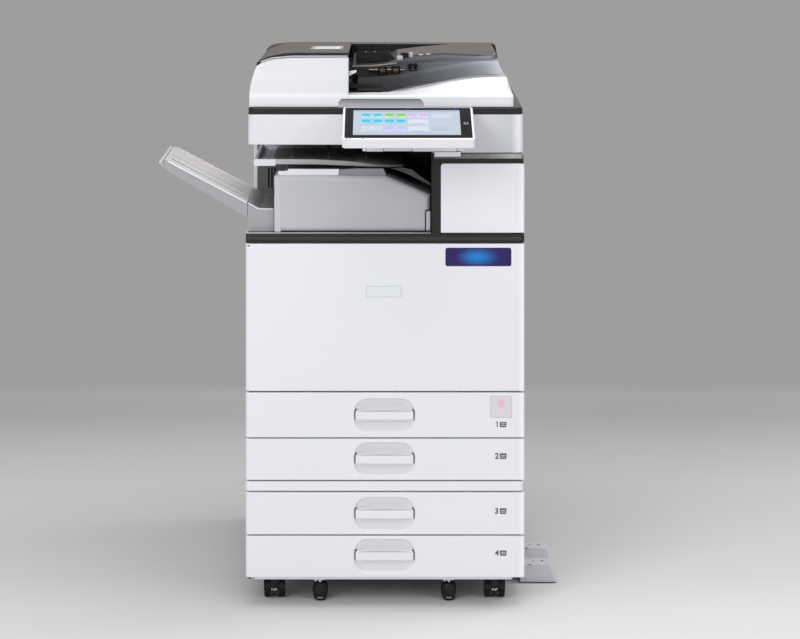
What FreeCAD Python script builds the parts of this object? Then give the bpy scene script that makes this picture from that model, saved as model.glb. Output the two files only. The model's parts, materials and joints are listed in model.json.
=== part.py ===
"""Free-standing office photocopier with document feeder, four paper trays, internal finisher
and side output tray.

Millimetres. +X is the operator's right, +Y runs from the front to the back, +Z is up.
Parts are laid out about the middle of the front face (X 0 on the body's centre line, Y 0 on
the front face, Z 0 on the floor). Each is then moved by ORIGIN, so that the exported origin is
the centre of the overall footprint at floor level.
"""
import FreeCAD, Part
import math
import os

Vector = FreeCAD.Vector
RIGHT, BACK, UP = Vector(1, 0, 0), Vector(0, 1, 0), Vector(0, 0, 1)
SIDES = (-1, 1)                    # left, right

# ---------------------------------------------------------------- driving dimensions
ORIGIN = Vector(51.985, -261.525, 0.0)   # from the layout frame to the footprint centre
HALF_W = 293.5                     # half of the body width
DEPTH = 680.0                      # body depth
COVER_X = HALF_W - 7.5             # inside of the side covers
COVER_BACK = 661.5                 # rear edge of the side covers
REAR_Y0 = 662.0                    # front edge of the rear covers
SIDE_DOOR_Y = (119.5, 560.5)       # doors in the right side
SIDE_OPENING_Y = (118.0, 562.0)    # the openings they stand in
FIT = 0.06                         # radial clearance of pins in their holes
ROLLER_FIT = 0.08                  # radial clearance of roller shafts

BANK_Z0, BANK_Z1 = 60.0, 243.5     # paper bank covers
STRIP_Z0, STRIP_Z1 = 245.0, 265.0  # fixed strip between the bank and the main unit
MAIN_Z0 = 247.0
FLOOR_Z1 = MAIN_Z0 + 4             # top of the main unit's floor plate
BAND_Z0, BAND_Z1 = 769.0, 789.0    # dark band under the output cavity
COLUMN_X0 = 99.5                   # left edge of the right-hand column
COLUMN_TOP = 958.0
REAR_TOP = 974.0
SCAN_Z0, SCAN_Z1 = 976.0, 1040.0
PLATEN_Z = 1054.0
PANEL_T = 20.0                     # depth of the front panels
TRAY_BACK = 500.0

# tray number: z0, z1 of the front, z of the grip bar's middle
TRAYS = {
    1: (358.0, 452.6, 404.6),
    2: (268.0, 355.2, 311.9),
    3: (153.0, 242.0, 196.0),
    4: (62.5, 150.0, 107.7),
}
DOOR_Z0, DOOR_Z1 = 456.0, 767.5
DOOR_HINGE = (9.0, 466.0)          # y, z
DOOR_PIN_R = 3.0

CASTER_X, CASTER_FRONT_Y, CASTER_REAR_Y = 235.0, 57.0, 600.0
CASTER_STEM_R = 6.0
TRAIL, WHEEL_R = 18.0, 22.0        # wheel axle behind the stem, wheel radius
AXLE_R = 4.0
FOOT_X, FOOT_Y, FOOT_STEM_R = 137.0, 54.0, 5.0


# ---------------------------------------------------------------- helpers
def box(x0, x1, y0, y1, z0, z1):
    return Part.makeBox(x1 - x0, y1 - y0, z1 - z0, Vector(x0, y0, z0))


def cylinder(radius, base, axis, height):
    return Part.makeCylinder(radius, height, Vector(*base), axis)


def unit(u, v):
    length = math.hypot(u, v)
    return u / length, v / length


def rounded_wire(points, place):
    """Closed wire through (u, v) or (u, v, corner radius); place turns (u, v) into 3-D."""
    corners = []                   # arc start, middle and end
    for i, (u, v, *radius) in enumerate(points):
        if not radius or radius[0] <= 0:
            corners.append(((u, v), None, (u, v)))
            continue
        radius = radius[0]
        before, after = points[i - 1], points[(i + 1) % len(points)]
        in_u, in_v = unit(before[0] - u, before[1] - v)
        out_u, out_v = unit(after[0] - u, after[1] - v)
        mid_u, mid_v = unit(in_u + out_u, in_v + out_v)
        angle = math.acos(max(-1, min(1, in_u * out_u + in_v * out_v)))
        tangent = radius / math.tan(angle / 2)
        sagitta = radius / math.sin(angle / 2) - radius
        corners.append(((u + in_u * tangent, v + in_v * tangent),
                        (u + mid_u * sagitta, v + mid_v * sagitta),
                        (u + out_u * tangent, v + out_v * tangent)))
    edges = []
    for (start, middle, end), following in zip(corners, corners[1:] + corners[:1]):
        if middle:
            edges.append(Part.Arc(place(*start), place(*middle), place(*end)).toShape())
        line_start, line_end = place(*end), place(*following[0])
        if (line_start - line_end).Length > 1e-6:
            edges.append(Part.makeLine(line_start, line_end))
    return Part.Wire(edges)


def prism(plane, points, lo, hi):
    """Outline in the xz, yz or xy plane, extruded from lo to hi along the third axis."""
    place, axis = {
        "xz": (lambda u, v: Vector(u, lo, v), BACK),
        "yz": (lambda u, v: Vector(lo, u, v), RIGHT),
        "xy": (lambda u, v: Vector(u, v, lo), UP),
    }[plane]
    return Part.Face(rounded_wire(points, place)).extrude(axis * (hi - lo))


def rect(u0, u1, v0, v1, radius=0.0):
    return [(u0, v0, radius), (u1, v0, radius), (u1, v1, radius), (u0, v1, radius)]


def flat(edge, axis, *values):
    """True if the edge lies in a plane axis = one of the values."""
    bounds = edge.BoundBox
    lo, hi = getattr(bounds, axis + "Min"), getattr(bounds, axis + "Max")
    return any(abs(lo - value) < 0.05 and abs(hi - value) < 0.05 for value in values)


def fillet(shape, radius, test):
    edges = [edge for edge in shape.Edges if test(edge)]
    if not edges:
        return shape
    # The kernel may refuse a rounding or return a broken solid; the sharp shape is kept then.
    try:
        rounded = shape.makeFillet(radius, edges)
        if (rounded.isValid() and rounded.Volume > 0
                and len(rounded.Solids) == len(shape.Solids)):
            return rounded
    except Exception:
        pass
    return shape


def loft(sections):
    """Ruled solid through polygons of 3-D points."""
    wires = [Part.makePolygon([Vector(*p) for p in points + points[:1]]) for points in sections]
    solid = Part.makeLoft(wires, True, True)
    return solid if solid.Volume > 0 else solid.reversed()


def fuse(*shapes):
    whole = shapes[0]
    for shape in shapes[1:]:
        whole = whole.fuse(shape)
    return whole.removeSplitter()


def fuse_boxes(*rows):
    """One solid from rows of x0, x1, y0, y1, z0, z1."""
    return fuse(*[box(*row) for row in rows])


def cut_all(shape, *tools):
    for tool in tools:
        shape = shape.cut(tool)
    return shape


# ---------------------------------------------------------------- paper trays
# pocket behind a grip: y, width, height, corner radius
POCKET = [(-0.6, 132, 75, 31), (0.0, 130, 73, 30), (5, 125, 67, 28), (12, 118, 58, 25),
          (19, 106, 46, 20), (25, 88, 31, 14), (28.5, 64, 17, 8)]


def front_panel(z0, z1, wall=3.5, corner=9.0):
    """Hollow panel across the full width, with rounded front corners and an open back."""
    panel = prism("xy", [(-HALF_W, 0, corner), (HALF_W, 0, corner),
                         (HALF_W, PANEL_T), (-HALF_W, PANEL_T)], z0, z1)
    panel = fillet(panel, 1.6, lambda edge: flat(edge, "Z", z0, z1) and (
        edge.BoundBox.YMax < PANEL_T - 0.1
        or edge.BoundBox.YLength > PANEL_T - corner - 1 and edge.BoundBox.YMin > 0.5))
    half = HALF_W - wall
    return panel.cut(prism("xy", [(-half, wall, corner - wall), (half, wall, corner - wall),
                                  (half, PANEL_T + 1), (-half, PANEL_T + 1)],
                           z0 + wall, z1 - wall))


def grip_pocket(z):
    return Part.makeLoft(
        [rounded_wire(rect(-width / 2, width / 2, z - height / 2, z + height / 2, radius),
                      lambda u, v, y=y: Vector(u, y, v))
         for y, width, height, radius in POCKET], True, False)


def tray_front(z0, z1, grip_z):
    pocket_z = grip_z - 0.5
    front = front_panel(z0, z1)
    block = box(-73, 73, 3, 34, max(z0 + 2, pocket_z - 40.5), min(z1 - 2, pocket_z + 40.5))
    front = front.fuse(block).removeSplitter()
    front = front.cut(grip_pocket(pocket_z))
    # slots that the grip's ends stand in
    for side in SIDES:
        x0, x1 = sorted((side * 59.5, side * 64.8))
        front = front.cut(box(x0, x1, -1, 22, grip_z - 9.5, grip_z + 8.5))
    # the bar's top edge dips in the middle
    grip = prism("xz", [(-61.2, grip_z - 10.0, 2.0), (61.2, grip_z - 10.0, 2.0),
                        (61.2, grip_z + 10.2, 4.0), (0, grip_z + 8.4),
                        (-61.2, grip_z + 10.2, 4.0)], 0.6, 17.0)
    grip = grip.cut(box(-54, 54, 6.0, 18, grip_z - 11, grip_z - 4))
    grip = fillet(grip, 1.8, lambda edge: flat(edge, "Y", 0.6))
    return front.fuse(grip).removeSplitter()


def tray_box(z0, z1):
    """Box, lifting plate, front and rear side fences, end fence."""
    bottom, top = z0 + 7.0, z1 - 9.0
    tray = prism("xy", rect(-270, 250, PANEL_T, TRAY_BACK, 3), bottom, top)
    tray = tray.cut(prism("xy", rect(-266.5, 246.5, PANEL_T + 3, TRAY_BACK - 3, 2),
                          bottom + 3, top + 1))
    # walled notch around the grip pocket
    tray = tray.cut(box(-74.5, 74.5, 15, 36, bottom - 1, top + 1))
    for x0, x1, y0 in ((-78, 78, 36), (-78, -74.5, 20), (74.5, 78, 20)):
        tray = tray.fuse(box(x0, x1, y0, 39, bottom, top))
    # finger cut-out in the left wall
    tray = tray.cut(prism("yz", rect(180, 300, top - 22, top + 10, 8), -272, -262))
    tray = tray.removeSplitter()
    plate = box(-195, 243, 112, 438, bottom + 4.0, bottom + 6.0).cut(
        prism("xy", rect(-120, -40, 240, 310, 10), bottom, bottom + 9))
    foot_z0, foot_z1 = bottom + 6.5, bottom + 10
    front_fence = fuse_boxes((-60, 150, 104, 107.5, foot_z0, top - 4),
                             (-60, 150, 92, 104, foot_z0, foot_z1))
    rear_fence = fuse_boxes((-60, 150, 442.5, 446, foot_z0, top - 4),
                            (-60, 150, 446, 458, foot_z0, foot_z1))
    end_fence = fuse_boxes((-206, -202.5, 225, 325, foot_z0, top - 6),
                           (-222, -206, 235, 315, foot_z0, foot_z1))
    return [tray, plate, front_fence, rear_fence, end_fence]


# ---------------------------------------------------------------- paper bank
def bank_frame():
    plate = box(-284, 268, 10, 658, 56, 62)
    for side in SIDES:
        for y in (CASTER_FRONT_Y, CASTER_REAR_Y):
            plate = plate.cut(cylinder(CASTER_STEM_R + FIT, (side * CASTER_X, y, 50), UP, 20))
        plate = plate.cut(cylinder(FOOT_STEM_R + FIT, (side * FOOT_X, FOOT_Y, 50), UP, 20))
    plate = plate.cut(prism("xy", rect(-200, 180, 150, 520, 20), 50, 70))
    return fuse(
        plate,
        box(-283, -280, 31, 656, 62, 243),          # left wall
        box(262, 265, 31, 656, 62, 243),            # right wall
        box(-280, 262, 645, 648, 62, 243),          # rear wall
        box(-283, 265, 31, 648, 241, 244.5),        # top
        box(-280, -272.5, 60, 560, 150.2, 152.2),   # left ledge
        box(252.5, 262, 60, 560, 150.2, 152.2))     # right ledge


def rear_shell(z0, z1, corner, edge_radius=0.0):
    """Cover across the back, open to the front."""
    wall = 4.0
    half = HALF_W - wall
    shell = prism("xy", [(-HALF_W, REAR_Y0), (HALF_W, REAR_Y0),
                         (HALF_W, DEPTH, corner), (-HALF_W, DEPTH, corner)], z0, z1)
    if edge_radius:
        shell = fillet(shell, edge_radius, lambda edge: (
            flat(edge, "Z", z0, z1) and edge.BoundBox.YMax > REAR_Y0 + 0.5))
    return shell.cut(prism("xy", [(-half, REAR_Y0 - 1), (half, REAR_Y0 - 1),
                                  (half, DEPTH - wall, corner - wall),
                                  (-half, DEPTH - wall, corner - wall)], z0 + wall, z1 - wall))


def bank_covers():
    left = box(-HALF_W, -COVER_X, 21, COVER_BACK, BANK_Z0, BANK_Z1)
    left = fillet(left, 2.0, lambda edge: flat(edge, "X", -HALF_W))
    rear = rear_shell(BANK_Z0, BANK_Z1, 10)
    right = prism("yz", rect(21, COVER_BACK, BANK_Z0, BANK_Z1), COVER_X, HALF_W)
    right = right.cut(prism("yz", rect(*SIDE_OPENING_Y, 68, 240, 4), 280, 300))
    right = fillet(right, 1.5, lambda edge: flat(edge, "X", HALF_W))
    return [left, rear, right]


def bank_side_door():
    door = prism("yz", rect(*SIDE_DOOR_Y, 71, 238, 5), 286.3, HALF_W)
    door = fillet(door, 1.5, lambda edge: flat(edge, "X", HALF_W))
    # hollow box on the inside, grip recess on the outside
    door = door.fuse(box(279, 286.3, 150, 530, 90, 225)).cut(box(278, 284, 156, 524, 96, 219))
    door = door.cut(prism("yz", rect(280, 400, 205, 228, 8), 289.5, 300))
    return door.removeSplitter()


# ---------------------------------------------------------------- casters and levelling feet
def caster_yoke(x, y):
    axle_y = y + TRAIL
    stem = cylinder(CASTER_STEM_R, (x, y, 42), UP, 19.5)
    body = prism("yz", [(y - 13, 44, 4), (y - 13, 28, 8), (axle_y - 9, 12, 6),
                        (axle_y + 9, 12, 6), (axle_y + 20, 30, 6), (y + 12, 50, 4),
                        (y - 6, 50, 4)], x - 7.2, x + 7.2)
    # thin hood over the front upper quarter of the wheels
    hood = cut_all(
        cylinder(26.5, (x - 22.5, axle_y, WHEEL_R), RIGHT, 45),
        cylinder(23.2, (x - 23, axle_y, WHEEL_R), RIGHT, 46),
        box(x - 30, x + 30, y - 40, y + 80, -10, 24),
        box(x - 30, x + 30, axle_y + 6, y + 80, -10, 60))
    hood = hood.common(box(x - 22.5, x + 22.5, y - 30, y + 60, 24, 52))
    yoke = body.fuse(hood).fuse(stem).removeSplitter()
    return yoke.cut(cylinder(AXLE_R + FIT, (x - 30, axle_y, WHEEL_R), RIGHT, 60))


def caster_wheels(x, y):
    """Twin wheels on an axle, each with a recess in its outer face."""
    width, recess = 13.0, 3.0
    axle_y = y + TRAIL
    wheels = cylinder(AXLE_R, (x - 20, axle_y, WHEEL_R), RIGHT, 40).removeSplitter()
    for start, recess_start in ((-22.0, -22.0), (9.0, 9.0 + width - recess)):
        wheel = cylinder(WHEEL_R, (x + start, axle_y, WHEEL_R), RIGHT, width)
        wheel = fillet(wheel, 2.5, lambda edge: (
            edge.BoundBox.XLength < 0.1 and edge.BoundBox.ZLength > 40))
        wheel = wheel.cut(cylinder(14, (x + recess_start, axle_y, WHEEL_R), RIGHT, recess))
        wheels = wheels.fuse(wheel)
    return wheels.removeSplitter()


def levelling_foot(x):
    """Turned foot with its stem, and a hexagon nut."""
    profile = [(0, 0), (11.5, 0, 2.5), (16.8, 17, 9), (9.5, 38.5, 5),
               (FOOT_STEM_R, 39.5), (FOOT_STEM_R, 58), (0, 58)]    # radius, z, rounding
    wire = rounded_wire(profile, lambda u, v: Vector(x + u, FOOT_Y, v))
    foot = Part.Face(wire).revolve(Vector(x, FOOT_Y, 0), UP, 360)
    corners = [Vector(x + 9.2 * math.cos(math.radians(60 * k)),
                      FOOT_Y + 9.2 * math.sin(math.radians(60 * k)), 41) for k in range(7)]
    nut = Part.Face(Part.makePolygon(corners)).extrude(UP * 6)
    return foot.fuse(nut).removeSplitter()


# ---------------------------------------------------------------- anti-tip stabilisers (right)
STABILISER_YS = (200.0, 322.0)


def stabiliser_cover(y):
    # outer x, half width at the body, half width at the outer end, z
    levels = [(376, 36, 36, 3), (374.5, 35, 34, 12), (366, 22, 22, 38)]
    cover = loft([[(296, y - inner, z), (x, y - outer, z), (x, y + outer, z), (296, y + inner, z)]
                  for x, inner, outer, z in levels])
    cover = fillet(cover, 7.0, lambda edge: (
        edge.BoundBox.ZLength > 5 and edge.BoundBox.XMin > 350))
    cover = fillet(cover, 3.0, lambda edge: flat(edge, "Z", 38) and edge.CenterOfMass.x > 300)
    return cut_all(cover, box(290, 362, y - 17, y + 17, 0, 33),
                   cylinder(3.2, (325, y, 30), UP, 10))


def stabiliser_arm(y):
    return fuse_boxes((246, 356, y - 12, y + 12, 20, 24), (246, 250, y - 12, y + 12, 24, 56))


# ---------------------------------------------------------------- main unit frame and covers
SCREWS = [(-270, 300), (270, 300), (-270, 600), (270, 600),
          (-270, 930), (270, 930), (0, 262), (0, 955)]    # x, z on the rear cover


def main_frame():
    frame = fuse(
        box(-284, 268, 26, 656, MAIN_Z0, FLOOR_Z1),       # floor plate
        box(-283, -280, 31, 656, FLOOR_Z1, 783),          # left wall
        box(262, 265, 31, 656, FLOOR_Z1, 766).cut(box(255, 270, 70, 545, 300, 752)),
        box(-280, 262, 560, 563, FLOOR_Z1, 970),          # rear bulkhead
        # shelf over the trays
        box(-280, 262, 43, 560, 456.5, 459.5).cut(box(210, 259, 70, 545, 450, 465)),
        box(-283, -280, 330, 656, 783, 970),              # left wall beside the cavity's back
        box(262, 265, 31, 656, 766, 955),                 # right wall of the column
        box(103, 106, 31, 330, 766, 955),                 # left wall of the column
        box(-280, 106, 330, 333, 766, 970),               # wall behind the cavity
        box(106, 262, 43, 560, 952, 955),                 # top of the column
        box(-280, 262, 653, 656, FLOOR_Z1, 300),          # low rear wall
        box(-280, 262, 563, 656, 967, 970).cut(box(-270, 250, 570, 650, 960, 975)),
        box(-280, 106, 333, 560, 967, 970))               # top behind the cavity
    return cut_all(frame, box(-200, 240, 555, 570, 600, 760),
                   box(100, 265, 612, 657, 960, 971))


def left_cover():
    cover = prism("yz", [(22.8, FLOOR_Z1), (COVER_BACK, FLOOR_Z1), (COVER_BACK, 972),
                         (330, 972, 3), (330, 788.5, 6), (22.8, 788.5, 3)], -HALF_W, -COVER_X)
    cover = fillet(cover, 1.8, lambda edge: flat(edge, "X", -HALF_W))
    cover = cover.cut(prism("yz", rect(66, 104, 700, 728, 0.8), -295, -280))   # mains switch
    for k in range(12):
        cover = cover.cut(prism("yz", rect(500, 600, 880 - 9 * k, 884 - 9 * k, 1.9), -295, -280))
    return cover


def right_cover():
    cover = prism("yz", [(22.8, FLOOR_Z1), (COVER_BACK, FLOOR_Z1), (COVER_BACK, COLUMN_TOP),
                         (22.8, COLUMN_TOP)], COVER_X, HALF_W)
    cover = cover.cut(prism("yz", rect(*SIDE_OPENING_Y, 265, 772, 4), 280, 300))
    cover = fillet(cover, 1.8, lambda edge: flat(edge, "X", HALF_W))
    for k in range(9):
        cover = cover.cut(prism("yz", rect(578, 645, 860 - 9 * k, 864 - 9 * k, 1.9), 280, 300))
    return cover


def rear_cover():
    cover = rear_shell(MAIN_Z0, REAR_TOP, 12, 2.0)
    for k in range(14):
        for x0, x1 in ((-230, -120), (120, 230)):
            vent = rect(x0, x1, 640 + 10 * k, 645 + 10 * k, 2.4)
            cover = cover.cut(prism("xz", vent, 670, 690))
    cover = cover.cut(prism("xz", rect(170, 205, 280, 306, 3), 670, 690))      # mains inlet
    cover = cover.cut(prism("xz", rect(-240, -170, 420, 560, 4), 670, 690))    # interface
    for x, z in SCREWS:
        cover = cover.cut(cylinder(2.1, (x, 670, z), BACK, 12))
    return cover


def cover_screw(x, z):
    """Cross-head screw."""
    head = cut_all(cylinder(4.2, (x, DEPTH, z), BACK, 2.0),
                   box(x - 0.5, x + 0.5, DEPTH + 1, DEPTH + 3, z - 3, z + 3),
                   box(x - 3, x + 3, DEPTH + 1, DEPTH + 3, z - 0.5, z + 0.5))
    return head.fuse(cylinder(2.0, (x, DEPTH - 8, z), BACK, 8)).removeSplitter()


def column_front():
    """Light cover on the front of the right-hand column."""
    x0, top = 118.6, 932.5
    cover = prism("xy", [(x0, 1.0, 2), (HALF_W, 1.0, 9), (HALF_W, 22), (x0, 22)], 790, top)
    cover = fillet(cover, 3.0, lambda edge: flat(edge, "Z", top) and edge.BoundBox.YMin < 21)
    return cover.cut(box(122, 290, 5, 30, 794, 929))


def dark_front_trim():
    """Band under the cavity, and the column's left post and top beam."""
    front, post_top = -0.5, COLUMN_TOP - 0.5
    band = prism("xy", [(-HALF_W, front, 9), (HALF_W, front, 9), (HALF_W, 22), (-HALF_W, 22)],
                 BAND_Z0, BAND_Z1)
    band = band.cut(box(-289, 289, 6, 23, BAND_Z0 - 1, BAND_Z1 - 6))
    band = fillet(band, 5.0, lambda edge: (
        flat(edge, "Z", BAND_Z1) and edge.BoundBox.YMin < 10 and edge.BoundBox.YMax < 21))
    post = prism("xz", [(COLUMN_X0, BAND_Z1 - 3), (117.8, BAND_Z1 - 3), (117.8, 934),
                        (HALF_W, 934), (HALF_W, post_top), (COLUMN_X0, post_top, 14)], front, 22)
    post = fillet(post, 6.0, lambda edge: flat(edge, "Z", post_top))
    post = cut_all(post, box(COLUMN_X0 + 4, 114, 6, 23, BAND_Z1 - 4, 930),
                   box(118, 289, 6, 23, 938, COLUMN_TOP - 5))
    return band.fuse(post).removeSplitter()


# ---------------------------------------------------------------- output cavity
def cavity_liner():
    liner = fuse(
        box(-285.5, 102.5, 22.5, 328, 785, 788.4),        # floor
        box(-285.5, 102.5, 324.5, 328, 788.4, 973.5),     # back
        box(99.6, 102.5, 22.5, 324.5, 788.4, 958),        # right wall
        # ceiling
        box(-285.5, 102.5, 60, 324.5, 970.5, 973.5).cut(box(99, 103, 20, 330, 957.9, 980)))
    # paper exit slots in the right wall
    return cut_all(liner, box(98, 104, 60, 290, 856, 864), box(98, 104, 60, 290, 934, 942))


def exit_ramp():
    """Curved guide from the right wall up and left, under the one-bin tray's end."""
    return prism("xz", [(12, 919), (45, 908.5), (98.5, 881.5), (98.5, 887), (78, 901),
                        (60, 915), (36, 921)], 60, 290)


def one_bin_tray():
    """Long thin tray over the finisher, dipping towards its exit at the right."""
    tray = prism("xz", [(-278, 927, 2), (-232, 927), (-232, 930.5), (-150, 930), (-80, 927.5),
                        (-30, 925), (10, 924), (40, 926.5), (40, 929.5), (10, 928.5),
                        (-30, 931), (-80, 937), (-150, 940.5), (-232, 941), (-278, 941, 2)],
                 36, 300)
    return tray.cut(prism("xz", [(-271, 931), (-240, 931), (-240, 934.5), (-150, 934),
                                 (-80, 931.5), (-60, 930.6), (-60, 950), (-271, 950)], 44, 292))


# ---------------------------------------------------------------- internal finisher
UNIT_Z0 = 789.4                    # underside of the units standing in the cavity


def finisher_case():
    case = prism("xz", [(-232, UNIT_Z0), (98.2, UNIT_Z0), (98.2, 866.5), (0, 907),
                        (-60, 919, 20), (-150, 915), (-210, 915, 3), (-214, 909), (-232, 909)],
                 30.5, 300)
    case = case.cut(prism("xz", [(-226, 795), (92, 795), (92, 862), (-2, 901), (-226, 903)],
                          25, 294))
    case = case.cut(box(-240, -220, 60, 270, 852, 900))   # sheet outlet to the side tray
    return case.cut(prism("xz", rect(60, 110, 845, 858), 60, 270))   # slot in the right wall


def finisher_door():
    left, front = -234, 12.0
    door = prism("xz", [(left, 789.6, 3), (97.5, 789.6, 2), (97.5, 867.6, 2), (1, 908.5, 8),
                        (left, 908.5, 4)], front, 30)
    door = fillet(door, 11.0, lambda edge: (
        flat(edge, "X", left) and edge.BoundBox.ZLength > 50 and flat(edge, "Y", front)))
    door = door.cut(box(-229, 93, 15.5, 31, 793.5, 860)).cut(box(-229, 0, 15.5, 31, 859, 903))
    return door.cut(prism("xz", rect(87.0, 99, 791.5, 836), 8, 20))  # latch notch


def finisher_latch():
    latch = prism("xz", [(88.2, 793, 2), (97.3, 793), (97.3, 834.5), (88.2, 834.5, 3)],
                  11.2, 19.5)
    return fillet(latch, 1.5, lambda edge: flat(edge, "Y", 11.2))


def stapler():
    return fuse(box(-150, -60, 40, 110, 800, 860), box(-135, -75, 110, 150, 806, 850),
                cylinder(12, (-105, 46, 868), BACK, 60))


# ---------------------------------------------------------------- side output tray
TRAY_SLOPE = math.radians(27.7)
TRAY_ROOT = (-291.2, 850.4)        # x, z of the top surface's right end
TRAY_TIP = 198.5                   # length up the slope


def on_slope(distance, height, *radius):
    """Point at a distance up the tray's top surface and a height square to it."""
    run, rise = math.cos(TRAY_SLOPE), math.sin(TRAY_SLOPE)
    return (TRAY_ROOT[0] - distance * run + height * rise,
            TRAY_ROOT[1] + distance * rise + height * run) + radius


def slope_block(far, near, high, low, y0, y1):
    """Block square to the slope, between two distances and two heights."""
    return prism("xz", [on_slope(near, high), on_slope(far, high), on_slope(far, low),
                        on_slope(near, low)], y0, y1)


def side_tray_base():
    base = prism("xz", [(-290.5, UNIT_Z0, 2), (-235, UNIT_Z0), (-235, 838), (-262, 838, 8),
                        (-290.5, 850.2, 1)], 24, 252)
    return base.cut(prism("xz", [(-286, 794), (-230, 794), (-230, 833), (-262, 833),
                                 (-286, 845)], 30, 246))


def side_tray():
    tray = prism("xz", [on_slope(0, 0, 1), (TRAY_ROOT[0], 820.0, 1), on_slope(194.5, -18.5, 3),
                        on_slope(TRAY_TIP, -14, 3), on_slope(TRAY_TIP, -0.5, 4)], 22, 254)
    # round the two tip corners in plan
    outside = prism("xy", rect(-500, -291.3, 10, 266), 780, 980).cut(
        prism("xy", [(-474.2, 22, 16), (-280, 22), (-280, 254), (-474.2, 254, 16)], 770, 990))
    return cut_all(
        tray, outside,
        slope_block(192, 7, -4, -13.5, 27, 249),          # hollow under the surface
        slope_block(204, 190, -5.4, -10.2, 58, 218),      # mouth at the tip
        slope_block(192, 0, 0.5, -1.4, 134, 140))         # groove up the surface


def side_tray_extension():
    """Flat slide inside the hollow, with a bar across the tray's tip."""
    slide = slope_block(203.0, 58, -6.0, -9.6, 60, 216)
    bar = prism("xz", [on_slope(199.4, -1.0, 2), on_slope(205, -1.6, 2),
                       on_slope(206.5, -15, 2.5), on_slope(199.4, -15.5, 1)], 36, 240)
    return fuse(slide, bar)


# ---------------------------------------------------------------- front door
TONER_X, TONER_Z = -130.0, 690.0


def front_door():
    hinge_y, hinge_z = DOOR_HINGE
    door = prism("xy", [(-HALF_W, 0, 9), (HALF_W, 0, 9), (HALF_W, 18), (-HALF_W, 18)],
                 DOOR_Z0, DOOR_Z1)
    door = fillet(door, 1.8, lambda edge: flat(edge, "Z", DOOR_Z0, DOOR_Z1) and (
        edge.BoundBox.YMax < 17.9 or edge.BoundBox.XLength < 0.1))
    half = HALF_W - 4
    door = door.cut(prism("xy", [(-half, 4.5, 5), (half, 4.5, 5), (half, 19), (-half, 19)],
                          DOOR_Z0 + 4, DOOR_Z1 - 4))
    for x in (-200, -100, 0, 100, 200):
        door = door.fuse(box(x - 1, x + 1, 4, 13, DOOR_Z0 + 34, DOOR_Z1 - 4))
    for z in (560, 660):
        door = door.fuse(box(-half, half, 4, 13, z - 1, z + 1))
    # notches in the lower edge for the hinge arms, and inward hinge pins
    for side in SIDES:
        x0, x1 = sorted((side * 289.4, side * 278))
        door = door.cut(box(x0, x1, 5.0, 19, DOOR_Z0 - 1, DOOR_Z0 + 5))
        door = door.fuse(cylinder(DOOR_PIN_R, (side * 290, hinge_y, hinge_z),
                                  RIGHT * -side, 9.0))
    return door.removeSplitter()


def inner_front_cover():
    hinge_y, hinge_z = DOOR_HINGE
    cover = cut_all(box(-284.5, 284.5, 26, 30, 459, 766),
                    cylinder(47, (TONER_X, 20, TONER_Z), BACK, 20),
                    prism("xz", rect(96, 238, 560, 696, 8), 20, 40))
    for side in SIDES:
        x = side * 284
        arm = prism("yz", [(hinge_y - 3.95, hinge_z + 3.95, 3.4), (26, hinge_z + 6),
                           (26, hinge_z - 3), (hinge_y + 4.1, hinge_z - 3),
                           (hinge_y + 3.5, hinge_z - 3.95),
                           (hinge_y - 3.95, hinge_z - 3.95, 3.4)], x - 2, x + 2)
        cover = cover.fuse(arm)
        cover = cover.cut(cylinder(DOOR_PIN_R + FIT, (x - 4, hinge_y, hinge_z), RIGHT, 8))
    cover = cover.fuse(box(-284.5, 284.5, 18.8, 26, 762, 766))       # flange along the top
    for x in (-240, 0, 260):
        cover = cover.cut(box(x - 9, x + 9, 15, 23, 760, 764.5))
    return cover.removeSplitter()


# ---------------------------------------------------------------- engine
DRUM_X, DRUM_Z, DRUM_SHAFT_R = 200.0, 628.0, 6.0
FUSER_XS, FUSER_Z, FUSER_SHAFT_R = (198.0, 237.2), 728.0, 7.0


def toner_bottle():
    bottle = cylinder(42, (TONER_X, 34, TONER_Z), BACK, 330)
    bottle = fillet(bottle, 5, lambda edge: (
        edge.BoundBox.XLength > 80 and edge.BoundBox.YLength < 0.1))
    for k in range(9):
        y = 70 + 30 * k
        groove = cylinder(43, (TONER_X, y, TONER_Z), BACK, 5).cut(
            cylinder(40.2, (TONER_X, y - 1, TONER_Z), BACK, 7))
        bottle = bottle.cut(groove)
    cap = cylinder(30, (TONER_X, 27, TONER_Z), BACK, 8)
    handle = box(TONER_X - 24, TONER_X + 24, 22, 28, TONER_Z - 5, TONER_Z + 5)
    return bottle.fuse(cap).fuse(handle).removeSplitter()


def toner_cradle():
    return fuse_boxes((TONER_X - 60, TONER_X + 60, 60, 350, 640, 646),
                      (TONER_X - 60, TONER_X - 54, 60, 350, 646, 690),
                      (TONER_X + 54, TONER_X + 60, 60, 350, 646, 690))


def drum():
    return fuse(cylinder(30, (DRUM_X, 66, DRUM_Z), BACK, 460),
                cylinder(DRUM_SHAFT_R, (DRUM_X, 52, DRUM_Z), BACK, 488))


def drum_unit():
    """Hollow case left of the drum, with end plates that carry its shaft and a front grip."""
    unit_body = fuse_boxes((100, 164, 60, 534, 575, 690), (164, 232, 40, 60, 575, 690),
                           (164, 232, 534, 545, 575, 690), (100, 164, 34, 60, 575, 690))
    unit_body = cut_all(
        unit_body, cylinder(DRUM_SHAFT_R + ROLLER_FIT, (DRUM_X, 30, DRUM_Z), BACK, 520),
        box(106, 158, 66, 528, 581, 684))
    unit_body = unit_body.fuse(box(118, 146, 20, 34, 600, 660)).cut(
        box(112, 140, 24, 30, 606, 654))
    return unit_body.removeSplitter()


def fuser_frame():
    frame = fuse_boxes((150, 258, 64, 70, 700, 762), (150, 258, 530, 536, 700, 762),
                       (150, 156, 70, 530, 700, 762), (156, 214, 70, 530, 756, 762))
    return cut_all(frame, *[cylinder(FUSER_SHAFT_R + ROLLER_FIT, (x, 60, FUSER_Z), BACK, 490)
                            for x in FUSER_XS])


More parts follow.
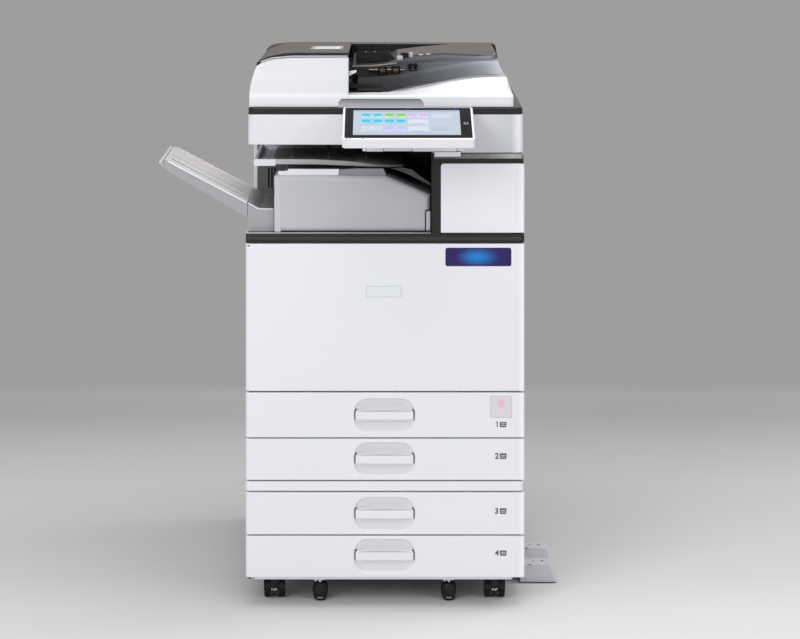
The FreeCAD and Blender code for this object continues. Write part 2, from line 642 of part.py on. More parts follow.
def fuser_roller(x):
    return fuse(cylinder(19.5, (x, 74, FUSER_Z), BACK, 452),
                cylinder(FUSER_SHAFT_R, (x, 62, FUSER_Z), BACK, 476))


def laser_unit():
    """Hollow rounded box with a slot in its right wall."""
    return cut_all(prism("xy", rect(-240, 60, 100, 500, 8), 470, 560),
                   box(-234, 54, 106, 494, 476, 554), box(50, 70, 140, 460, 530, 545))


def drive_unit():
    # radius, x, z, length
    housings = [(36, 60, 620, 26), (22, 150, 690, 18), (30, -60, 700, 34)]
    return fuse(box(-110, 200, 563.5, 566.5, 570, 755),
                *[cylinder(radius, (x, 566, z), BACK, length)
                  for radius, x, z, length in housings])


def controller():
    """Board box open to the back, and the interface frame behind it."""
    case = box(-250, 150, 618, 651, 320, 540).cut(box(-246, 146, 622, 655, 324, 536))
    interface = box(-236, -174, 651, 676, 426, 554).cut(box(-232, -178, 655, 680, 430, 550))
    return case.fuse(interface).removeSplitter()


# ---------------------------------------------------------------- right door, duplex, bypass
def right_door():
    door = prism("yz", rect(*SIDE_DOOR_Y, 270, 770, 5), 286.3, HALF_W)
    door = fillet(door, 1.8, lambda edge: flat(edge, "X", HALF_W))
    door = door.cut(prism("yz", rect(148, 502, 415, 643, 6), 280, 300))        # bypass opening
    for y0, y1, z0 in ((124, 130, 300), (550, 556, 300), (130, 550, 758)):
        door = door.fuse(box(278.5, 286.3, y0, y1, z0, 764))
    door = door.cut(prism("yz", rect(270, 410, 716, 744, 10), 290, 300))       # grip recess
    return door.removeSplitter()


def duplex_guide():
    """Upright block with grooves that leave ribs on its left face."""
    block = box(267, 277.8, 130, 550, 330, 750)
    return cut_all(block, *[box(262, 271, 146 + 31 * k, 158 + 31 * k, 340, 740)
                            for k in range(13)])


def bypass_tray():
    tray = prism("yz", rect(149.5, 500.5, 420.5, 641.5, 5), 284.5, HALF_W)
    tray = fillet(tray, 1.8, lambda edge: flat(edge, "X", HALF_W))
    tray = tray.cut(box(280, 288.0, 156, 494, 432, 700))
    for y in (156, 480):
        tray = tray.fuse(box(284.5, 286.5, y, y + 14, 432, 640))
    tray = tray.cut(prism("yz", rect(270, 380, 618, 636, 8), 291, 300))        # grip recess
    return tray.removeSplitter()


def bypass_extension():
    return prism("yz", rect(174, 476, 520, 636, 10), 282.2, 285.2)


# ---------------------------------------------------------------- mains switch and inlet
def mains_switch():
    return prism("xy", [(-292.5, 72, 1.0), (-291.0, 85), (-289.5, 98, 1.0), (-287.5, 98),
                        (-287.5, 72)], 704, 724)


def switch_bezel():
    return fuse_boxes((-292, -284, 67, 70.4, 701, 727), (-292, -284, 99.6, 103, 701, 727),
                      (-292, -284, 70.4, 99.6, 701, 703.4),
                      (-292, -284, 70.4, 99.6, 724.6, 727))


def mains_inlet():
    return box(172, 203, 656.3, 677, 282, 304).cut(box(176, 199, 665, 680, 286, 300))


# ---------------------------------------------------------------- scanner
# x0, x1, y0, y1 of the platen glass and of the narrow glass left of it
GLASSES = ((-172.0, 270.0, 96.0, 412.0), (-224.0, -196.0, 96.0, 412.0))
GLASS_Z0 = PLATEN_Z - 4
RAIL_YS, RAIL_Z, RAIL_R = (42, 518), 1009, 4.0


def scanner_housing():
    housing = prism("xy", rect(-288.5, 293, 0, 622, 16), SCAN_Z0, SCAN_Z1)
    housing = fillet(housing, 2.5, lambda edge: flat(edge, "Z", SCAN_Z0))
    # skirt down to the column
    skirt = cut_all(
        prism("xy", [(101, 0), (293, 0, 16), (293, 622, 16), (101, 622)], 959.5, SCAN_Z0 + 4),
        box(105, 288, 5, 617, 950, SCAN_Z0), box(100, 105.1, 322, 623, 950, SCAN_Z0 - 0.5))
    housing = housing.fuse(skirt).cut(
        prism("xy", rect(-284.5, 289, 4, 618, 12), SCAN_Z0 + 4, SCAN_Z1 + 1))
    for y in (36, 512):            # ledges under the rails
        housing = housing.fuse(box(-284.5, 289, y, y + 12, SCAN_Z0 + 4, 1003))
    return housing.removeSplitter()


def scanner_rail(y):
    return cylinder(RAIL_R, (-284.5, y, RAIL_Z), RIGHT, 573.5)


def lens_unit():
    return fuse(box(20, 160, 190, 350, 980, 984), cylinder(12, (30, 270, 997), RIGHT, 60),
                box(110, 114, 210, 330, 984, 1004), box(40, 70, 250, 290, 984, 990))


def platen_frame():
    frame = prism("xy", rect(-288, 292.5, 1.5, 621, 16), SCAN_Z1, PLATEN_Z)
    frame = fillet(frame, 3.0, lambda edge: flat(edge, "Z", PLATEN_Z))
    frame = frame.cut(prism("xy", rect(-284, 288.5, 5.5, 617, 12), SCAN_Z1 - 1, 1047))
    for x0, x1, y0, y1 in GLASSES:
        frame = frame.cut(box(x0 - 0.5, x1 + 0.5, y0 - 0.5, y1 + 0.5, GLASS_Z0, 1060))
        frame = frame.cut(box(x0 + 5, x1 - 5, y0 + 6, y1 - 6, 1040, 1060))
    return frame


def rail_shoes(x0, x1):
    return [box(x0, x1, y - 5, y + 5, 1004.5, 1014.5) for y in RAIL_YS]


def bore_for_rails(shape):
    for y in RAIL_YS:
        shape = shape.cut(cylinder(RAIL_R + FIT, (-300, y, RAIL_Z), RIGHT, 700))
    return shape.removeSplitter()


def lamp_carriage():
    carriage = fuse_boxes(
        (-236, -186, 32, 528, 1014.5, 1018), (-236, -232, 60, 500, 1018, 1042),
        (-190, -186, 60, 500, 1018, 1042), (-224, -198, 66, 494, 1034, 1040),
        (-232, -190, 60, 66, 1018, 1042), (-232, -190, 494, 500, 1018, 1042))
    for shoe in rail_shoes(-236, -186):
        carriage = carriage.fuse(shoe)
    return bore_for_rails(carriage)


def mirror_carriage():
    return bore_for_rails(fuse(
        box(-276, -250, 32, 528, 1014.5, 1018), box(-276, -273, 60, 500, 984, 1014.5),
        box(-276, -250, 60, 64, 984, 1014.5), box(-276, -250, 496, 500, 984, 1014.5),
        *rail_shoes(-276, -250)))


# ---------------------------------------------------------------- document feeder
FEEDER_Y0, FEEDER_Y1 = 12.0, 562.0
FEEDER_Z0 = 1055.0
FEEDER_HINGE = (580.0, 1066.0)     # y, z
HINGE_PIN_R = 5.0
CROWN_FALL = 15.0                  # how much lower the feeder's crown is at the back
# x, z outlines across the feeder
HOUSING = [(-287, 1055), (-286.5, 1085), (-282.5, 1109), (-275.5, 1133), (-271.5, 1141),
           (-262, 1147.5), (-250, 1152), (-233, 1156), (-199, 1159.0), (-76, 1159.6),
           (-76, 1055)]
HOUSING_HOLLOW = [(-280, 1066), (-60, 1066), (-60, 1185), (-265, 1185), (-268, 1140),
                  (-276, 1108), (-280, 1085)]
FEED_COVER = [(-271.8, 1143.0), (-270.5, 1147.5), (-263, 1152.5), (-250, 1158.5),
              (-233, 1163.5), (-212, 1166.8), (-190, 1168.0), (-77, 1168.0),
              (-77, 1160.6), (-199, 1160.2), (-233, 1157.2), (-250, 1153.2), (-262, 1148.6)]
REAR_HOUSING = [(-287, 1055), (-286.5, 1085), (-282.5, 1109), (-280, 1114), (264.5, 1114),
                (273, 1076), (273, 1055)]
REAR_CAP = [(-279, 1114.4), (-275.5, 1133), (-270.5, 1140), (-258, 1145), (-236, 1148.2),
            (-199, 1149.0, 5), (-47, 1149), (257, 1147.8, 5), (264, 1114.4)]
# x, z of the output surface and of the fairing's crest in front of it
OUTPUT_SURFACE = [(-76, 1068), (-20, 1072), (40, 1079), (100, 1090), (160, 1101),
                  (210, 1108), (262, 1109.5)]
FAIRING_CREST = [(-76, 1080), (-10, 1080.5), (40, 1083), (90, 1092), (140, 1103.5),
                 (190, 1111.5), (230, 1113.6), (261, 1113.6)]
STATIONS = [-76, -40, -10, 20, 40, 65, 90, 115, 140, 165, 190, 210, 230, 248, 261]   # x
RIGHT_END = 273                    # x


def crown(outline, y, fall):
    """Section at y, with its upper part lowered by up to the fall."""
    return [(x, y, z - fall * max(0.0, min(1.0, (z - 1100) / 60.0))) for x, z in outline]


def height_at(table, x):
    for (x0, z0), (x1, z1) in zip(table, table[1:]):
        if x <= x1:
            return z0 + (z1 - z0) * (x - x0) / (x1 - x0)


def fairing_section(x, front_z, shoulder_z, crest_z):
    return [(x, FEEDER_Y0, FEEDER_Z0), (x, FEEDER_Y0, front_z), (x, FEEDER_Y0 + 16, shoulder_z),
            (x, 56, crest_z), (x, 64, crest_z), (x, 66, FEEDER_Z0)]


def fairing():
    front_z = 1079.5
    sections = []
    for x in STATIONS:
        crest_z = height_at(FAIRING_CREST, x)
        shoulder_z = front_z + (crest_z - front_z) * 0.40
        sections.append(fairing_section(x, front_z, shoulder_z, crest_z))
    return loft(sections + [fairing_section(RIGHT_END, 1076, 1079, 1080)])


def output_floor():
    stations = [(x, height_at(OUTPUT_SURFACE, x)) for x in STATIONS] + [(RIGHT_END, 1074)]
    return loft([[(x, 60, FEEDER_Z0), (x, 60, z), (x, 524, z), (x, 524, FEEDER_Z0)]
                 for x, z in stations])


def feeder_body():
    body = loft([crown(HOUSING, FEEDER_Y0, 0), crown(HOUSING, 520, CROWN_FALL)])
    body = body.cut(loft([crown(HOUSING_HOLLOW, FEEDER_Y0 + 7, 0),
                          crown(HOUSING_HOLLOW, 521, CROWN_FALL)]))
    body = fillet(body, 4.0, lambda edge: (
        flat(edge, "Y", FEEDER_Y0) and edge.CenterOfMass.x < -262))
    rear = prism("xz", REAR_HOUSING, 520, FEEDER_Y1)
    body = body.fuse(fairing()).fuse(output_floor()).fuse(rear)
    # underside pocket for the pressure pad, and the grip recess under the front edge
    body = body.cut(box(-176, 266, 90, 430, 1050, 1060.2))
    body = body.cut(prism("xz", [(-97, 1050), (82, 1050), (82, 1073, 10), (-97, 1073, 10)],
                          FEEDER_Y0 - 5, FEEDER_Y0 + 18))
    for side in SIDES:             # hinge lugs
        x = side * 190
        lug = box(x - 11, x + 11, FEEDER_Y1 - 1, FEEDER_HINGE[0], 1060, 1072).fuse(
            cylinder(8, (x - 11, *FEEDER_HINGE), RIGHT, 22))
        body = body.fuse(lug)
        body = body.cut(cylinder(HINGE_PIN_R + FIT, (x - 15, *FEEDER_HINGE), RIGHT, 30))
    return body.removeSplitter()


def feeder_rear_cap():
    back = FEEDER_Y1 - 0.5
    cap = prism("xz", REAR_CAP, 506.5, back)
    cap = cap.cut(box(-290, 300, 500, 521.5, 1100, 1116))
    cap = cap.cut(prism("xz", [(-270, 1112), (-262, 1134), (-200, 1143), (-48, 1143),
                               (250, 1142), (257, 1112)], 512, FEEDER_Y1 - 5))
    cap = fillet(cap, 3.0, lambda edge: flat(edge, "Y", back) and edge.CenterOfMass.z > 1116)
    return cap.cut(box(-300, -76, 500, 521, 1100, 1200))


def feeder_hinge(x):
    """Foot plate with two cheeks and the hinge pin."""
    hinge = fuse_boxes((x - 24, x + 24, 566, 600, 1054, 1057),
                       (x - 22, x - 12, 568, 596, 1057, 1074),
                       (x + 12, x + 22, 568, 596, 1057, 1074))
    hinge = hinge.cut(cylinder(HINGE_PIN_R, (x - 30, *FEEDER_HINGE), RIGHT, 60)).fuse(
        cylinder(HINGE_PIN_R, (x - 24, *FEEDER_HINGE), RIGHT, 48))
    return hinge.removeSplitter()


def feeder_inserts():
    """Grip recess lining, pressure pad, paper guide inside the housing."""
    grip = prism("xz", [(-96.5, 1055.5), (81.5, 1055.5), (81.5, 1072.5, 9.5),
                        (-96.5, 1072.5, 9.5)], FEEDER_Y0 + 12, FEEDER_Y0 + 17.5)
    pad = box(-174, 264, 92, 428, 1054.6, 1060.0)
    paper_guide = prism("xz", [(-258, 1086), (-240, 1070), (-90, 1070), (-80, 1088), (-78, 1110),
                               (-120, 1116), (-200, 1112), (-240, 1104)], 32, 500)
    return [grip, pad, paper_guide]


def feed_cover():
    """Cover over the feeder's left half, with a ribbed frame under it."""
    front = FEEDER_Y0 + 1.0
    cover = loft([crown(FEED_COVER, front, 0), crown(FEED_COVER, 505.5, CROWN_FALL - 0.4)])
    cover = fillet(cover, 2.0, lambda edge: (
        flat(edge, "Y", front) and edge.CenterOfMass.z > 1161 and edge.BoundBox.XMin < -78))
    ribs = fuse_boxes((-205, -85, 200, 206, 1140, 1154), (-205, -85, 330, 336, 1140, 1154),
                      (-205, -199, 206, 330, 1140, 1154), (-95, -89, 206, 330, 1140, 1154))
    return cover.fuse(ribs).removeSplitter()


def feed_roller(x):
    return cylinder(11, (x, 236, 1132), BACK, 64).fuse(
        cylinder(4, (x, 206.2, 1132), BACK, 123.6)).removeSplitter()


def original_tray():
    tray = prism("xz", [(-70, 1127.5, 2), (-20, 1129.5), (30, 1135), (80, 1141), (130, 1145.5),
                        (185, 1148.5), (244, 1149.5, 2), (244, 1156.5, 3), (185, 1155.5),
                        (130, 1152.5), (80, 1148), (30, 1142), (-20, 1136.5),
                        (-70, 1134.5, 2)], 96, 424)
    # rounds the two right-hand corners in plan
    plan = [(-71, 96), (244.5, 96, 24), (244.5, 424, 24), (-71, 424)]
    return tray.common(prism("xy", plan, 1100, 1180))


def side_guide(wall_y, foot_y):
    wall = prism("xz", [(-20, 1138.2), (16, 1142.2), (24, 1143.1), (19, 1151, 3),
                        (6, 1160.0, 8), (-62, 1160.0, 8), (-62, 1136.6)], wall_y, wall_y + 4)
    foot = prism("xz", [(-60, 1136.7), (-20, 1138.2), (12, 1141.7), (12, 1144.5),
                        (-20, 1141.0), (-60, 1139.5)], foot_y, foot_y + 18)
    return wall.fuse(foot).removeSplitter()


# ---------------------------------------------------------------- operation panel
PANEL_REAR = (-10.0, 1055.0)       # y, z of the glass's rear edge
PANEL_FRONT = (-153.0, 1008.0)     # y, z of the glass's front edge
PANEL_X = 49.3                     # the panel's middle
PANEL_PIVOT = (-12.0, -9.0)        # y, z in the flat panel
PANEL_ARMS = ((-84, -34), (40, 86))   # x spans of the two bracket arms, from the middle
PANEL_PIN_R = 2.5
PANEL_TILT = math.atan2(PANEL_REAR[1] - PANEL_FRONT[1], PANEL_REAR[0] - PANEL_FRONT[0])


def lay(flat_shape):
    """Tilt into place a part drawn with the glass's top at Z 0 and its rear edge at Y 0."""
    shape = flat_shape.copy()
    shape.rotate(Vector(0, 0, 0), RIGHT, math.degrees(PANEL_TILT))
    shape.translate(Vector(PANEL_X, *PANEL_REAR))
    return shape


def panel_housing():
    bottom, rim = -20, 1.2
    housing = prism("xy", rect(-136.3, 136.3, -157.0, 3.2, 7), bottom, rim)
    housing = fillet(housing, 2.2, lambda edge: flat(edge, "Z", bottom, rim))
    housing = housing.cut(prism("xy", rect(-131.6, 131.6, -151.3, 0.8, 4), -3.2, 2))
    housing = housing.cut(box(-126, 126, -146, -5, -17, -3.1))
    # raised block on the underside
    housing = housing.fuse(prism("yz", [(-62, -19), (-27, -19), (-27, -30, 2), (-54, -30, 4)],
                                 -128, 50))
    # slot for each arm, with a cheek on either side
    for x0, x1 in PANEL_ARMS:
        housing = housing.cut(box(x0 - 0.8, x1 + 0.8, -26.5, 8, -31, -3.6))
        for cheek_x0, cheek_x1 in ((x0 - 7, x0 - 0.8), (x1 + 0.8, x1 + 7)):
            housing = housing.fuse(box(cheek_x0, cheek_x1, -21, -4.5, -18, -3.2))
    bore_zones = fuse(*[box(x0 - 6.2, x1 + 6.2, -30, 0, -20, 0) for x0, x1 in PANEL_ARMS])
    housing = housing.cut(
        cylinder(PANEL_PIN_R + FIT, (-135, *PANEL_PIVOT), RIGHT, 270).common(bore_zones))
    # trimmed to stay clear of the body's front face
    return lay(housing.removeSplitter()).cut(box(-200, 300, -1.4, 50, 900, 1200))


def panel_glass():
    glass = prism("xy", rect(-131.3, 131.3, -151.0, 0.5, 4), -3.1, 0.0)
    return lay(fillet(glass, 0.5, lambda edge: flat(edge, "Z", 0.0)))


def panel_bracket():
    """Hollow bracket on the body's front, with two arms and the panel's pivot pins."""
    sine, cosine = math.sin(PANEL_TILT), math.cos(PANEL_TILT)
    pivot_y = PANEL_REAR[0] + PANEL_PIVOT[0] * cosine - PANEL_PIVOT[1] * sine
    pivot_z = PANEL_REAR[1] + PANEL_PIVOT[0] * sine + PANEL_PIVOT[1] * cosine
    arm_r = 4.9
    bracket = prism("yz", [(-1.0, 964), (-1.0, 1004), (-22, 1004), (-28, 966, 3)], -46, 168)
    bracket = bracket.cut(prism("yz", [(-5, 968), (-5, 1000), (-19, 1000), (-24, 969)],
                                -42, 164))
    for x0, x1 in PANEL_ARMS:
        arm = prism("yz", [(pivot_y + arm_r, pivot_z), (pivot_y + arm_r, 1010), (-3, 1002),
                           (-3, 990), (pivot_y - arm_r, 990), (pivot_y - arm_r, pivot_z)],
                    PANEL_X + x0, PANEL_X + x1)
        bracket = bracket.fuse(arm).fuse(
            cylinder(arm_r, (PANEL_X + x0, pivot_y, pivot_z), RIGHT, x1 - x0))
    pins = lay(fuse(*[cylinder(PANEL_PIN_R, (x0 - 6, *PANEL_PIVOT), RIGHT, x1 - x0 + 12)
                      for x0, x1 in PANEL_ARMS]))
    return bracket.fuse(pins).fuse(box(105, 160, -30, -2, 955, 964.5)).removeSplitter()


# ---------------------------------------------------------------- nodes
nodes = {
    "bank_frame": [bank_frame()],
    "bank_covers": bank_covers(),
    "bank_side_door": [bank_side_door()],
    "stabilisers": ([stabiliser_cover(y) for y in STABILISER_YS]
                    + [stabiliser_arm(y) for y in STABILISER_YS]),
    "main_frame": [main_frame()],
    "side_covers": [left_cover(), right_cover()],
    "rear_cover": [rear_cover()],
    "hinges_and_screws": ([cover_screw(x, z) for x, z in SCREWS]
                          + [feeder_hinge(side * 190) for side in SIDES]),
    "fixed_front_covers": [front_panel(STRIP_Z0, STRIP_Z1), column_front(), panel_bracket()],
    "dark_front_trim": [dark_front_trim()],
    "output_cavity_liner": [cavity_liner(), exit_ramp()],
    "one_bin_tray": [one_bin_tray()],
    "finisher_body": [finisher_case(), stapler()],
    "finisher_door": [finisher_door()],
    "finisher_latch": [finisher_latch()],
    "side_output_tray": [side_tray_base(), side_tray()],
    "side_tray_extension": [side_tray_extension()],
    "front_door": [front_door()],
    "inner_front_cover": [inner_front_cover()],
    "toner_bottle": [toner_bottle()],
    "engine_units": [toner_cradle(), drum_unit(), laser_unit(), drive_unit()],
    "photoconductor_drum": [drum()],
    "paper_path_unit": [fuser_frame(), *map(fuser_roller, FUSER_XS), duplex_guide()],
    "controller_and_mains": [controller(), switch_bezel(), mains_inlet()],
    "right_door": [right_door()],
    "bypass_tray": [bypass_tray()],
    "bypass_extension": [bypass_extension()],
    "mains_switch": [mains_switch()],
    "scanner_housing": [scanner_housing()],
    "scanner_optics": [*map(scanner_rail, RAIL_YS), lens_unit()],
    "platen_frame": [platen_frame()],
    "platen_glass": [box(*outline, GLASS_Z0, PLATEN_Z) for outline in GLASSES],
    "lamp_carriage": [lamp_carriage()],
    "mirror_carriage": [mirror_carriage()],
    "feeder_body": [feeder_body(), feeder_rear_cap()],
    "feeder_inserts": feeder_inserts(),
    "feed_cover": [feed_cover(), feed_roller(-160), feed_roller(-118)],
    "original_tray": [original_tray()],
    "front_side_guide": [side_guide(150, 154)],
    "rear_side_guide": [side_guide(366, 348)],
    "panel_housing": [panel_housing()],
    "panel_glass": [panel_glass()],
}
for number, (z0, z1, grip_z) in TRAYS.items():
    nodes["paper_tray_%d_front" % number] = [tray_front(z0, z1, grip_z)]
    nodes["paper_tray_%d_box" % number] = tray_box(z0, z1)
for side_name, side in zip(("left", "right"), SIDES):
    for end_name, y in (("front", CASTER_FRONT_Y), ("rear", CASTER_REAR_Y)):
        caster = "caster_%s_%s_" % (end_name, side_name)
        nodes[caster + "yoke"] = [caster_yoke(side * CASTER_X, y)]
        nodes[caster + "wheels"] = [caster_wheels(side * CASTER_X, y)]
    nodes["levelling_foot_" + side_name] = [levelling_foot(side * FOOT_X)]

# ---------------------------------------------------------------- write
os.makedirs("parts", exist_ok=True)
for name, shapes in nodes.items():
    solids = [solid.copy() for shape in shapes for solid in shape.Solids]
    for solid in solids:
        solid.translate(ORIGIN)
    node = solids[0] if len(solids) == 1 else Part.makeCompound(solids)
    node.exportStep("parts/%s.step" % name)
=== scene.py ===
import bpy
import json
import math
import numpy as np
from mathutils import Vector, Matrix

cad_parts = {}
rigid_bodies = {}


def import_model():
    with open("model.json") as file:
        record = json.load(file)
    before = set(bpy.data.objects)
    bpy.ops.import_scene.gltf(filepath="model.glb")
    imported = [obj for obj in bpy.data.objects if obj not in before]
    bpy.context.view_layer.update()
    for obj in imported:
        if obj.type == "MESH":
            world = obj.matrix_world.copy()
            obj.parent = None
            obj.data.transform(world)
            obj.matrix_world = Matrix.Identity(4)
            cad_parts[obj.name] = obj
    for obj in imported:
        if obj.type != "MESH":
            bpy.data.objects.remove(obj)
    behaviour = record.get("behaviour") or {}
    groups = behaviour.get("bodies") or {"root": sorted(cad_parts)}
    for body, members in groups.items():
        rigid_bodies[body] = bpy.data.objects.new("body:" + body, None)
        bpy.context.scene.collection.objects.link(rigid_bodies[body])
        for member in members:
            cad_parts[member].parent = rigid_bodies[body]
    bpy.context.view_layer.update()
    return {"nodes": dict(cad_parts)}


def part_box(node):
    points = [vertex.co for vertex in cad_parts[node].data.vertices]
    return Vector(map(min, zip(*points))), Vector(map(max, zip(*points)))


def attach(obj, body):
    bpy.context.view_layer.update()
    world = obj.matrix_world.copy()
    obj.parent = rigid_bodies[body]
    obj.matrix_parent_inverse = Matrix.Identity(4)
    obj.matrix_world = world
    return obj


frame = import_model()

CAD_OBJECTS = set(bpy.context.scene.objects)
NODES = frame["nodes"]

# Layout frame used below: millimetres, X 0 on the body's centre line, Y 0 on the front face, Z 0 on the floor.
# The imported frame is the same, moved so that its origin is the centre of the footprint.
OX, OY = 51.985, -261.525


def W(p):
    return ((p[0] + OX) / 1000.0, (p[1] + OY) / 1000.0, p[2] / 1000.0)


def lin(c):
    out = []
    for v in c[:3]:
        v = v / 255.0
        out.append(v / 12.92 if v <= 0.04045 else ((v + 0.055) / 1.055) ** 2.4)
    return (out[0], out[1], out[2], 1.0)


# ------------------------------------------------------------------ materials
def _new(name):
    m = bpy.data.materials.new(name)
    m.use_nodes = True
    nt = m.node_tree
    for n in list(nt.nodes):
        nt.nodes.remove(n)
    out = nt.nodes.new("ShaderNodeOutputMaterial")
    return m, nt, out


def surface(name, color, rough=0.42, rough_var=0.06, tone_var=0.025, tone_scale=9.0, grain=0.10, grain_scale=1500.0,
            metallic=0.0, spec=0.5, coat=0.0, wear=0.05, wear_color=None, radius=0.0009, brushed=None, alpha=None,
            transmission=0.0, emission=None, dust=0.0):
    """Plastic, paint or metal with fine grain, uneven gloss, slight tone drift and worn edges."""
    m, nt, out = _new(name)
    N, L = nt.nodes.new, nt.links.new
    b = N("ShaderNodeBsdfPrincipled")
    tc = N("ShaderNodeTexCoord")
    base = lin(color)
    # tone drift
    n1 = N("ShaderNodeTexNoise"); n1.inputs["Scale"].default_value = tone_scale; n1.inputs["Detail"].default_value = 5.0
    L(tc.outputs["Object"], n1.inputs["Vector"])
    mr = N("ShaderNodeMapRange"); mr.inputs[1].default_value = 0.3; mr.inputs[2].default_value = 0.7
    mr.inputs[3].default_value = 1.0 - tone_var; mr.inputs[4].default_value = 1.0 + tone_var
    L(n1.outputs["Fac"], mr.inputs[0])
    mul = N("ShaderNodeMix"); mul.data_type = "RGBA"; mul.blend_type = "MULTIPLY"; mul.inputs[0].default_value = 1.0
    mul.inputs[6].default_value = base
    cmb = N("ShaderNodeCombineColor")
    for k in range(3):
        L(mr.outputs[0], cmb.inputs[k])
    L(cmb.outputs[0], mul.inputs[7])
    col = mul.outputs[2]
    # a fine noise node, left unconnected
    n2 = N("ShaderNodeTexNoise"); n2.inputs["Scale"].default_value = grain_scale * 0.6; n2.inputs["Detail"].default_value = 2.0
    L(tc.outputs["Object"], n2.inputs["Vector"])
    # worn, slightly lighter edges
    bev = N("ShaderNodeBevel"); bev.samples = 4; bev.inputs["Radius"].default_value = radius
    geo = N("ShaderNodeNewGeometry")
    dot = N("ShaderNodeVectorMath"); dot.operation = "DOT_PRODUCT"
    L(bev.outputs[0], dot.inputs[0]); L(geo.outputs["Normal"], dot.inputs[1])
    edge = N("ShaderNodeMapRange"); edge.inputs[1].default_value = 0.995; edge.inputs[2].default_value = 0.86
    edge.inputs[3].default_value = 0.0; edge.inputs[4].default_value = wear
    L(dot.outputs["Value"], edge.inputs[0])
    n3 = N("ShaderNodeTexNoise"); n3.inputs["Scale"].default_value = 60.0; n3.inputs["Detail"].default_value = 4.0
    L(tc.outputs["Object"], n3.inputs["Vector"])
    em = N("ShaderNodeMath"); em.operation = "MULTIPLY"
    L(edge.outputs[0], em.inputs[0]); L(n3.outputs["Fac"], em.inputs[1])
    e2 = N("ShaderNodeMath"); e2.operation = "MULTIPLY"; e2.inputs[1].default_value = 2.0
    L(em.outputs[0], e2.inputs[0])
    wm = N("ShaderNodeMix"); wm.data_type = "RGBA"
    wm.inputs[7].default_value = lin(wear_color) if wear_color else (min(1, base[0] * 1.5 + 0.08), min(1, base[1] * 1.5 + 0.08), min(1, base[2] * 1.5 + 0.08), 1)
    L(e2.outputs[0], wm.inputs[0]); L(col, wm.inputs[6])
    col = wm.outputs[2]
    if dust > 0:
        # a little dust on faces that look up
        sep = N("ShaderNodeSeparateXYZ"); L(geo.outputs["Normal"], sep.inputs[0])
        up = N("ShaderNodeMapRange"); up.inputs[1].default_value = 0.6; up.inputs[2].default_value = 1.0; up.inputs[4].default_value = dust
        L(sep.outputs[2], up.inputs[0])
        dm = N("ShaderNodeMath"); dm.operation = "MULTIPLY"; L(up.outputs[0], dm.inputs[0]); L(n3.outputs["Fac"], dm.inputs[1])
        dmx = N("ShaderNodeMix"); dmx.data_type = "RGBA"; dmx.inputs[7].default_value = (0.55, 0.54, 0.52, 1)
        L(dm.outputs[0], dmx.inputs[0]); L(col, dmx.inputs[6])
        col = dmx.outputs[2]
    L(col, b.inputs["Base Color"])
    # uneven gloss
    rr = N("ShaderNodeMapRange"); rr.inputs[1].default_value = 0.3; rr.inputs[2].default_value = 0.7
    rr.inputs[3].default_value = max(0.02, rough - rough_var); rr.inputs[4].default_value = min(1, rough + rough_var)
    L(n3.outputs["Fac"], rr.inputs[0]); L(rr.outputs[0], b.inputs["Roughness"])
    # grain
    bump = N("ShaderNodeBump"); bump.inputs["Strength"].default_value = grain; bump.inputs["Distance"].default_value = 0.0004
    if brushed:
        mp = N("ShaderNodeMapping"); mp.inputs["Scale"].default_value = brushed
        nb = N("ShaderNodeTexNoise"); nb.inputs["Scale"].default_value = 30.0; nb.inputs["Detail"].default_value = 4.0
        L(tc.outputs["Object"], mp.inputs[0]); L(mp.outputs[0], nb.inputs["Vector"])
        L(nb.outputs["Fac"], bump.inputs["Height"])
    else:
        ng = N("ShaderNodeTexNoise"); ng.inputs["Scale"].default_value = grain_scale; ng.inputs["Detail"].default_value = 3.0
        L(tc.outputs["Object"], ng.inputs["Vector"])
        L(ng.outputs["Fac"], bump.inputs["Height"])
    L(bev.outputs[0], bump.inputs["Normal"])
    L(bump.outputs[0], b.inputs["Normal"])
    b.inputs["Metallic"].default_value = metallic
    b.inputs["Specular IOR Level"].default_value = spec
    b.inputs["Coat Weight"].default_value = coat
    b.inputs["Coat Roughness"].default_value = 0.08
    if transmission:
        b.inputs["Transmission Weight"].default_value = transmission
    if alpha is not None:
        b.inputs["Alpha"].default_value = alpha
    if emission:
        b.inputs["Emission Color"].default_value = lin(emission[0]); b.inputs["Emission Strength"].default_value = emission[1]
    L(b.outputs[0], out.inputs[0])
    m.diffuse_color = base
    return m


WHITE = surface("white_moulding", (229, 230, 234), rough=0.38, tone_var=0.010, tone_scale=3.0, wear=0.03)
WHITE_SIDE = surface("white_side_moulding", (222, 223, 226), rough=0.45, tone_var=0.014, tone_scale=4.0, grain=0.16, wear=0.03, dust=0.1)
GREY = surface("light_grey_moulding", (191, 192, 197), rough=0.42, tone_var=0.02, wear=0.08, dust=0.05)
GREY_TRAY = surface("pale_grey_moulding", (205, 202, 203), rough=0.45, tone_var=0.02, wear=0.08, dust=0.05)
MID_GREY = surface("mid_grey_moulding", (132, 134, 140), rough=0.40, tone_var=0.03, wear=0.06)
WARM = surface("warm_grey_moulding", (94, 90, 86), rough=0.50, rough_var=0.08, tone_var=0.03, wear=0.06, dust=0.05, spec=0.3)
DARK = surface("dark_grey_moulding", (35, 34, 33), rough=0.40, rough_var=0.08, tone_var=0.04, wear=0.08, spec=0.35)
DARK_LIGHT = surface("dark_trim_ridge", (52, 50, 48), rough=0.35, tone_var=0.03, wear=0.08, spec=0.4)
CAVITY = surface("cavity_moulding", (92, 92, 92), rough=0.5, tone_var=0.04, wear=0.05, dust=0.06)
DEEP = surface("deep_black", (7, 7, 8), rough=0.5, wear=0.02)
BLACK = surface("black_moulding", (20, 20, 21), rough=0.45, rough_var=0.1, tone_var=0.05, wear=0.07, dust=0.02, spec=0.35)
PANEL_BLACK = surface("panel_black", (9, 9, 11), rough=0.45, rough_var=0.05, tone_var=0.03, wear=0.04, spec=0.18)
